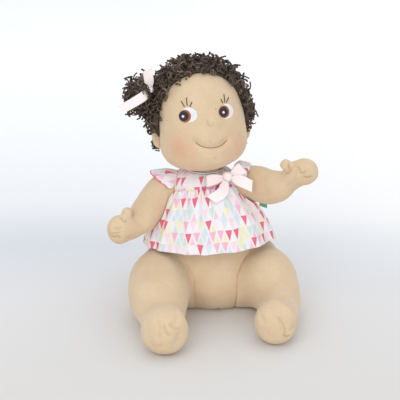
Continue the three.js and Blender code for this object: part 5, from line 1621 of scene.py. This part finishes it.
# %% Bodice
share, turn = np.meshgrid(np.linspace(0, 1, 34), np.linspace(-math.pi, math.pi, 261), indexing="ij")
low = waist_height(turn)
stand_off = DRESS_EASE + CLOTH - 0.5 * np.exp(-(share / 0.08) ** 2)
points = torso_point(turn, low + share * (NECKLINE - low), stand_off)
uneven = lumps(points.reshape(-1, 3), 9, 0.35, 31).reshape(turn.shape) - 0.1
uneven[:, -1] = uneven[:, 0]
points = points + outwards(turn) * uneven[..., None]
uv = np.stack([turn * (35 - 5 * share), 100 + cloth_lengths(points, 0)], axis=-1)
bodice = sheet_object("bodice_cloth", points, uv, cotton, inward=True)
cut_armholes(bodice)
finish_piece(bodice, "torso", "dress_bodice", slot="printed_cotton")

# %% [markdown]
# ### Skirt
# Folds run from the gathers at the waist to a hem that stands out like a bell. Where an arm rests
# on the skirt, its points are pressed inwards until the arm has room. The rows of the print follow
# the cloth without jumping between two folds, because the cloth coordinates count millimetres down
# from the waist, averaged over neighbouring columns.

# %% Skirt points and print
share, turn = np.meshgrid(np.linspace(0, 1, 76), np.linspace(-math.pi, math.pi, 601), indexing="ij")
points = skirt_point(turn, share, CLOTH)
fallen = np.mean([np.roll(cloth_lengths(points, 0)[:, :-1], k, axis=1) for k in range(-24, 25, 3)], axis=0)
uv = np.stack([turn * (44 + 16 * share), 100 - np.hstack([fallen, fallen[:, :1]])], axis=-1)
print("skirt cloth", uv[..., 1].min().round(1), "to", uv[..., 1].max().round(1), "mm of the print")

# %% Room for the arms
ARM_CLEARANCE, PRESS_STEP = 1.6, 0.5
flat, inwards = points.reshape(-1, 3), -outwards(turn.reshape(-1))
room_left = np.sum((torso_point(turn.reshape(-1), flat[:, 2], 1.4) - flat) * inwards, axis=1)
for side, _ in SIDES:
    places, broad, thin = arm_stations(side)
    path, girth = curve(places, 60)[0], curve(np.stack([broad, thin, 0 * thin], 1), 60)[0]
    for _ in range(24):
        gaps = np.linalg.norm(flat[:, None] - path[None], axis=2) - girth[None, :, 0] - ARM_CLEARANCE
        pressed = (gaps.min(axis=1) < 0) & (room_left > PRESS_STEP)
        flat[pressed] += PRESS_STEP * inwards[pressed]
        room_left[pressed] -= PRESS_STEP
print("least room left under the skirt", room_left.min().round(1), "mm")

# %% Skirt
skirt = sheet_object("skirt_cloth", flat.reshape(points.shape), uv, cotton, inward=True)
cut_armholes(skirt)
for cutter in cutters:
    bpy.data.objects.remove(cutter)
finish_piece(skirt, "torso", "dress_skirt", slot="printed_cotton")

# %% [markdown]
# ### Neck binding
# A strip of the same cotton is folded over the raw edge of the neck. A profile swept along a curve
# would serve, but here the neckline is known at every turn, so a few loops are laid round it and
# closed into a roll. Its fine waves are the pull of the stitches.

# %% Neck binding
BINDING_COUNT, BINDING_LOOPS = 200, 14
turn, rows = round_about(BINDING_COUNT), []
for a in round_about(BINDING_LOOPS):
    roll = 0.9 + 0.1 * np.cos(60 * turn)
    row = torso_point(turn, NECKLINE, DRESS_EASE + CLOTH / 2 + roll * math.cos(a))
    row[:, 2] = NECKLINE + 0.85 + 0.6 * math.sin(a)
    rows.append(row)
faces = grid_faces(BINDING_LOOPS, BINDING_COUNT, closed_rows=True)
binding = mesh_object("neck_binding_cloth", np.vstack(rows), faces, cotton)
over = np.repeat(np.arange(BINDING_LOOPS) * 0.4, BINDING_COUNT)
set_uv(binding, np.stack([np.tile(turn * 40, BINDING_LOOPS), over], axis=1), 80 * math.pi)
finish_piece(binding, "torso", "neck_binding", slot="printed_cotton")

# %% [markdown]
# ### Sleeves
# A flutter sleeve is a crescent of cloth, gathered at the shoulder and free over the arm, that
# narrows to nothing in front and behind. It could be cut from a cone, but it would look stiff.
# Here it is an arch round the shoulder's ball, lifted by a table and rippled most at its free
# edge; the right one shows its coloured hem.

# %% Sleeves
SLEEVE_REACH, SLEEVE_START, SLEEVE_ARCH = {RIGHT: 25, LEFT: 15}, 25.2, 4
FOLD_BEFORE, FOLD_PAST = 10, 12
SLEEVE_LIFT = {
    RIGHT: smooth_table([[0, 1.02], [0.35, 1.15], [0.7, 1.12], [1, 1.03]]),
    LEFT: smooth_table([[0, 1.02], [0.3, 1.3], [0.7, 1.24], [1, 1.16]]),
}
for side, word in SIDES:
    reach = SLEEVE_REACH[side]
    around, out = np.meshgrid(np.linspace(-1, 1, 90), np.linspace(0, 1, 30), indexing="ij")
    angle, narrow = np.radians(70 * around), np.cos(0.88 * math.pi / 2 * around)
    beside = SLEEVE_START + SLEEVE_ARCH * around ** 2 + out * narrow * reach
    x = -TORSO_LEAN * SHOULDER_HEIGHT / TORSO_HEIGHT + side * beside
    ripple = 0.03 * out * np.cos(4 * math.pi * around) + 0.035 * out ** 2 * np.cos(9 * math.pi * around + 1)
    gather = 0.02 * (1 - out) ** 2 * np.cos(26 * math.pi * around)
    away = (SLEEVE_LIFT[side](out)[..., 0] + ripple + gather) * ARM_ROOT_RADIUS + 0.35 + CLOTH
    place = shoulder_place(side)
    points = np.stack([x, place[1] + away * np.sin(angle), place[2] + away * np.cos(angle)], axis=-1)
    uv = np.stack([around * 24 + 3 * side, out * narrow * reach + 40], axis=-1)
    sleeve = sheet_object(f"{word}_sleeve_cloth", points, uv, cotton)
    if side == RIGHT:
        near, _ = line_distance(points_of(sleeve), points[:, -1])
        paint(sleeve, "hem", 0.9 * np.exp(-(near / 1.3) ** 4))
    fold = (place - (side * FOLD_BEFORE, 0, 0), place + (side * FOLD_PAST, 0, 0))
    finish_piece(sleeve, f"{word}_arm", f"{word}_sleeve", slot="printed_cotton", bend=fold)

# %% [markdown]
# ### Back closure and side label
# No view shows the back, so the dress is closed there in a common way for doll's clothes, by a
# short hook tape with a stitched border. The label is a folded tape in the side seam, and is left
# bare. Both could be boxes with a bevel, but thin sheets can bend with the body and fold as tape
# does.

# %% Back closure
TAPE_HALF_WIDTH, TAPE_LENGTH = 6, 24
rise, across = np.meshgrid(np.linspace(0, 0.97, 40), np.linspace(-1, 1, 22), indexing="ij")
height = NECKLINE - TAPE_LENGTH + rise * TAPE_LENGTH
turn = math.pi + across * TAPE_HALF_WIDTH / BELLY_HALF_DEPTH
points = torso_point(turn, height, DRESS_EASE + CLOTH + 1.5)
uv = np.stack([across * TAPE_HALF_WIDTH, height], axis=-1)
closure = sheet_object("back_closure_cloth", points, uv, closure_tape, thick=0.9)
for line in (points[2], points[-3], points[:, 2], points[:, -3]):
    sew(closure, line, depth=0.25, width=0.35, dark=0.35, pitch=1.6)
finish_piece(closure, "torso", "back_closure", slot="hook_tape")

# %% Side label
LABEL_STEPS, LABEL_ROWS = 40, 14
low_corner, high_corner = (np.array(c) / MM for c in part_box("side_label"))
middle = (low_corner + high_corner) / 2
outline = [(0, 0.42), (0.5, 0.45), (0.9, 0.4), (1.0, 0.0), (0.9, -0.4), (0.5, -0.45), (0, -0.42)]
length = high_corner[0] - low_corner[0] - 0.1
path = curve([(a * length, b, 0) for a, b in outline], LABEL_STEPS)[0]
heights = np.linspace(low_corner[2], high_corner[2], LABEL_ROWS)
points = np.array([
    [(low_corner[0] + x, middle[1] + y, z + 2.2 - 0.35 * x) for z in heights] for x, y, _ in path])
uv = np.array([[(a, b) for b in range(LABEL_ROWS)] for a in range(LABEL_STEPS + 1)], float)
label = sheet_object("side_label_tape", points, uv, label_tape, thick=0.3)
finish_piece(label, "torso", "side_label", slot="green_tape")

# %% [markdown]
# ## Ribbons
# Satin ribbon 8 mm wide is tied in a bow on the chest and round the tuft. A curve with a flat
# bevel would make a ribbon, but it twists where its path turns. So one function lays a strip along
# a path, holds its broad side in one direction, and adds what tying does to it: pleats where the
# knot squeezes it, a slight cup, and a slanted cut at its end.

# %% Ribbon strips
RIBBON_WIDTH, SEAM_GAP, RIBBON_THICKNESS = 8, 0.35, 0.8
tail_gather = smooth_table([[0, 0.5], [0.3, 1], [1, 1]])
loop_gather = smooth_table([[0, 0.5], [0.25, 1], [0.75, 1], [1, 0.5]])


def ribbon_strip(name, points, across, gather, body, node, steps=64, cup=0.3, slant=0.0, fuller=0.0):
    """A satin strip along a path, pleated where it is gathered and slightly cupped."""
    centres, ways = curve(points, steps)
    across = np.asarray(across, float)
    wide = unit(across - ways * (ways @ across)[:, None])
    thick = np.cross(ways, wide)
    share, w = np.linspace(0, 1, steps + 1), np.linspace(-1, 1, 17)
    width = gather(share)
    across_half = (RIBBON_WIDTH + fuller) / 2
    bow = cup * (w ** 2 - 0.4) + (1 - width) * 1.5 * np.cos(3 * math.pi * w)
    bow = bow + 0.3 * np.outer(np.sin(7 * share + 1), w)
    cut = np.outer(np.clip((share - 0.9) * 10, 0, 1), slant * w)
    grid = (centres[:, None] + wide[:, None] * (w * width * across_half)[..., None]
            + thick[:, None] * bow[..., None] + ways[:, None] * cut[..., None])
    uv = np.stack(np.broadcast_arrays(w * across_half, cloth_lengths(centres, 0)[:, None]), axis=-1)
    strip = sheet_object(name, grid, uv, satin, thick=0.45)
    finish_piece(strip, body, node, slot="blush_satin")
    return strip, grid


print("ribbon", RIBBON_WIDTH, "mm wide")

# %% [markdown]
# ### Bow
# Two loops and two tails leave a knot on the left of the chest. They could be one long strip, but
# nobody sees the inside of the knot, and separate strips are easier to aim. Each starts at the
# knot's surface and follows shares of a length, read from the photograph. The knot is a ball whose
# surface is pleated by waves.


# %% The knot's place
def chest_point(turn, height, lift):
    """A place over the bodice, lifted square to it."""
    base = torso_point(turn, height, DRESS_EASE + CLOTH)
    beside = torso_point(turn + 0.5 / BELLY_HALF_DEPTH, height, DRESS_EASE + CLOTH) - base
    rise = torso_point(turn, height + 0.5, DRESS_EASE + CLOTH) - base
    return base + unit(np.cross(beside, rise)) * lift


KNOT, LOOP_RUN, TAIL_RUN = np.array([8, 6, 8.5]), 21, 28
knot_place = chest_point(math.radians(43), NECKLINE - 5, KNOT[2] / 2 + SEAM_GAP)


def knot_edge(aim):
    """Where a strip leaves the knot in some direction."""
    return knot_place + aim * (0.5 / np.linalg.norm(aim / KNOT) + SEAM_GAP + RIBBON_THICKNESS / 2)


print("bow knot at", knot_place.round(1), "mm")


# %% Loops and tails
def bow_loop(name, shares, across, node):
    """A loop that leaves the knot, turns at its tip and comes back."""
    tip = knot_place + LOOP_RUN * np.array(shares)
    aim = unit(tip - knot_place)
    start = knot_edge(aim)
    apart = unit(np.cross(aim, across))
    outline = [(0, 0.35), (0.45, 1), (0.88, 0.8), (1, 0), (0.88, -0.8), (0.45, -1), (0, -0.35)]
    points = [start + aim * a * np.linalg.norm(tip - start) + apart * b * 1.8 for a, b in outline]
    return ribbon_strip(name, points, across, loop_gather, "torso", node, steps=110, cup=0.15, fuller=2.5)


def bow_tail(name, middle, tip, across, node):
    """A tail that leaves the knot and bends once."""
    middle, tip = knot_place + TAIL_RUN * np.array(middle), knot_place + TAIL_RUN * np.array(tip)
    path = [knot_edge(unit(middle - knot_place)), middle, tip]
    ribbon_strip(name, path, across, tail_gather, "torso", node, cup=0.15, slant=-2.0, fuller=1.5)


print("loops", LOOP_RUN, "mm and tails", TAIL_RUN, "mm from the knot")

# %% Bow
inner_loop, grid = bow_loop("bow_inner_loop_satin", (-0.847, -0.437, -0.07), (0, 0.6, 0.8), "bow_inner_loop")
# The inner loop's lower edge is painted a deeper pink.
lower_edge = grid[:, 0] if grid[:, 0, 2].mean() < grid[:, -1, 2].mean() else grid[:, -1]
near, _ = line_distance(points_of(inner_loop), lower_edge)
paint(inner_loop, "seam", 0.9 * np.exp(-(near / 0.8) ** 4))
bow_loop("bow_outer_loop_satin", (0.648, 0.11, 0.381), (-0.64, 0.2, 0.74), "bow_outer_loop")
bow_tail("bow_side_tail_satin", (0.46, -0.17, -0.09), (0.78, -0.23, -0.24), (0, 0.3, 1), "bow_side_tail")
bow_tail("bow_lower_tail_satin", (-0.16, -0.44, -0.36), (-0.5, -0.6, -0.55), (1, 0, -0.6), "bow_lower_tail")


# %% Knots
def knot_form(name, place, half, body, node):
    """A soft knot of folded satin, creased round its waist."""
    points, faces = ball(place, half, 56)
    beside = (points - place) / half
    pleats = 0.25 * np.cos(11 * beside[:, 2] + 2 * beside[:, 0]) + 0.15 * np.cos(5 * beside[:, 0])
    obj = mesh_object(name, points - beside * (0.5 * (0.4 + pleats))[:, None], faces, satin)
    set_uv(obj, [(6 * math.atan2(b[2], b[1]), 4 * b[0]) for b in beside], 12 * math.pi)
    finish_piece(obj, body, node, slot="blush_satin")


knot_form("bow_knot_satin", knot_place, KNOT / 2 + (0.9, 0.2, 0.7), "torso", "bow_knot")

# %% [markdown]
# ### Tuft band and ribbon
# A dark elastic band ties the tuft, and a short ribbon is knotted over it. A torus would do for
# the band, but the tuft isn't round, so the loops that made the tuft also make the band, a little
# wider, with a rounded edge. The ribbon's two tails stand off in front of the curls.

# %% Tuft band
BAND_WIDTH, BAND_START, BAND_WALL, BAND_COUNT = 4, 0.06, 0.8, 96
BAND_EDGE = ((0, 0), (0, 0.5), (0.06, 0.85), (0.5, 1.0), (0.94, 0.85), (1, 0.5), (1, 0), (0.5, 0))
loops = []
for end, wall in BAND_EDGE:
    reach = TAIL_RADIUS * 0.4 + 0.35 + wall * BAND_WALL
    loops.append(tail_row(TAIL_LENGTH * BAND_START + end * BAND_WIDTH, reach, BAND_COUNT))
faces = grid_faces(len(loops), BAND_COUNT, closed_rows=True)
band = mesh_object("ponytail_band_form", np.vstack(loops), faces, band_cloth)
finish_piece(band, "head", "ponytail_band", slot="dark_elastic")


# %% Tuft ribbon
def tuft_front(rise, below, stand_off):
    """Places in front of the tuft, at a share of its length and some degrees below its front."""
    reach = float(tail_shape(rise)[0]) * TAIL_RADIUS + 1.8 + stand_off
    a = math.radians(below)
    beside = np.array([0, -TAIL_DEPTH * reach * math.cos(a), -reach * math.sin(a)])
    return tail_root + tail_aim * rise * TAIL_LENGTH + beside


hair_knot = tuft_front(TAIL_NECK / 2, -35, 6)
KNOT_RADIUS = 3.0
LEAVE = KNOT_RADIUS + SEAM_GAP
knot_form("hair_ribbon_knot_satin", hair_knot, np.full(3, KNOT_RADIUS), "head", "hair_ribbon_knot")
aim = unit(tuft_front(0.9, 16, 7.8) - hair_knot)
start = hair_knot + aim * LEAVE
ribbon_strip("hair_ribbon_long_satin", [start, tuft_front(0.34, -10, 7.8), start + aim * 27],
             (-0.5, 0.1, 0.8), tail_gather, "head", "hair_ribbon_long_tail", slant=2.0)
aim = unit((-0.1, -0.35, 0.93))
start = hair_knot + aim * LEAVE
ribbon_strip("hair_ribbon_short_satin", [start, start + aim * 9 + (0, -0.8, 0), start + aim * 18],
             (1, 0, 0), tail_gather, "head", "hair_ribbon_short_tail", slant=1.5)

# %% [markdown]
# ## Seat panel and pellet bag
# A doll that sits needs weight low down: a bag of plastic pellets lies in the seat, over a sewn
# panel. Plain boxes would pass from outside, but a cutaway view would show them. So the panel is a
# flat oval cushion of loops, and the bag is its CAD solid, melted smooth and dented by the
# pellets.

# %% Seat panel
PANEL_COUNT = 120
PANEL_EDGE = ((1, 0.3), (1, 0.7), (1, 0.93), (0.8, 0.985), (0.3, 1), (-0.3, 1), (-0.8, 0.985),
              (-1, 0.93), (-1, 0.7), (-1, 0.3))
seat_low, seat_high = (np.array(c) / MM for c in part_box("seat_panel"))
seat_half, seat_middle = (seat_high - seat_low) / 2, (seat_high + seat_low) / 2
turn = round_about(PANEL_COUNT)
rows = []
for depth, share in PANEL_EDGE:
    loop = [share * np.cos(turn), share * np.sin(turn), np.full(PANEL_COUNT, -depth)]
    rows.append(seat_middle + seat_half * np.stack(loop, axis=1))
seat = mesh_object("seat_panel_form", *capped(rows), skin)
finish_piece(seat, "torso", "seat_panel", slot="skin_knit")

# %% Pellet bag
bag = fused("pellet_bag_form", [cad_points("pellet_bag")], closure_tape, 0.9, 6)
push(bag, lumps(points_of(bag), 2.2, 0.5, 51) - 0.35)
finish_piece(bag, "torso", "pellet_bag", slot="pellet_bag_cloth", fill=0.8)

# %% [markdown]
# ## Floor
# The photograph has a pale floor that runs into a white background. A curved studio backdrop could
# be modelled, but a plane that reaches far enough needs no curve: its colour is a ramp along its
# depth, with a band of painted shade just behind the doll, and behind the doll its right side is
# painted whiter, as painted light. Far behind the doll it glows a little for the camera only. So the
# background turns white while the doll gets no extra light, and its shadow stays on the floor.

# %% Floor finish
n = Finish("floor")
x, y, _ = n.parts(n.place())
# The ramp runs from the floor's pale tone near the doll, through a band of painted shade behind it, to the
# white of the backdrop.
FLOOR_TONES_AND_SHADE = ((0.0, linear(221, 219, 216)), (0.24, linear(229, 229, 231)), (0.38, linear(223, 227, 233)),
               (0.5, linear(240, 242, 246)), (0.8, linear(245, 247, 250)))
floor_tone_and_shade = n.ramp(n.add("MapRange", {0: y, 1: -0.25, 2: 0.75}).outputs[0], FLOOR_TONES_AND_SHADE)
# Behind the doll the right side is painted whiter: painted light.
right_side_light = n.add("MapRange", {0: x, 1: -0.12, 2: 0.2, 3: 0.0, 4: 0.75}).outputs[0]
far_share = n.add("MapRange", {0: y, 1: 0.02, 2: 0.2}).outputs[0]
tone = n.mix(n.math("MULTIPLY", right_side_light, far_share), floor_tone_and_shade, linear(255, 255, 255))
floor_surface = n.surface(tone, 0.7, None, Specular_IOR_Level=0.15)
shader = floor_surface.node_tree.nodes["Principled BSDF"]
shader.inputs["Emission Color"].default_value = PALE_SKY
seen = n.add("LightPath", {}).outputs["Is Camera Ray"]
faded = n.math("MULTIPLY", n.add("MapRange", {0: y, 1: 0.12, 2: 0.9, 4: 0.2}).outputs[0], seen)
floor_surface.node_tree.links.new(faded, shader.inputs["Emission Strength"])
print("material", floor_surface.name)

# %% Floor
FLOOR_REACH = 9000
corners = [(FLOOR_REACH * x, FLOOR_REACH * y, 0) for x, y in ((-1, -1), (1, -1), (1, 1), (-1, 1))]
floor = mesh_object("floor", corners, [(0, 1, 2, 3)], floor_surface, smooth=False)
print("floor reaches", FLOOR_REACH * MM, "m to each side")

# %% [markdown]
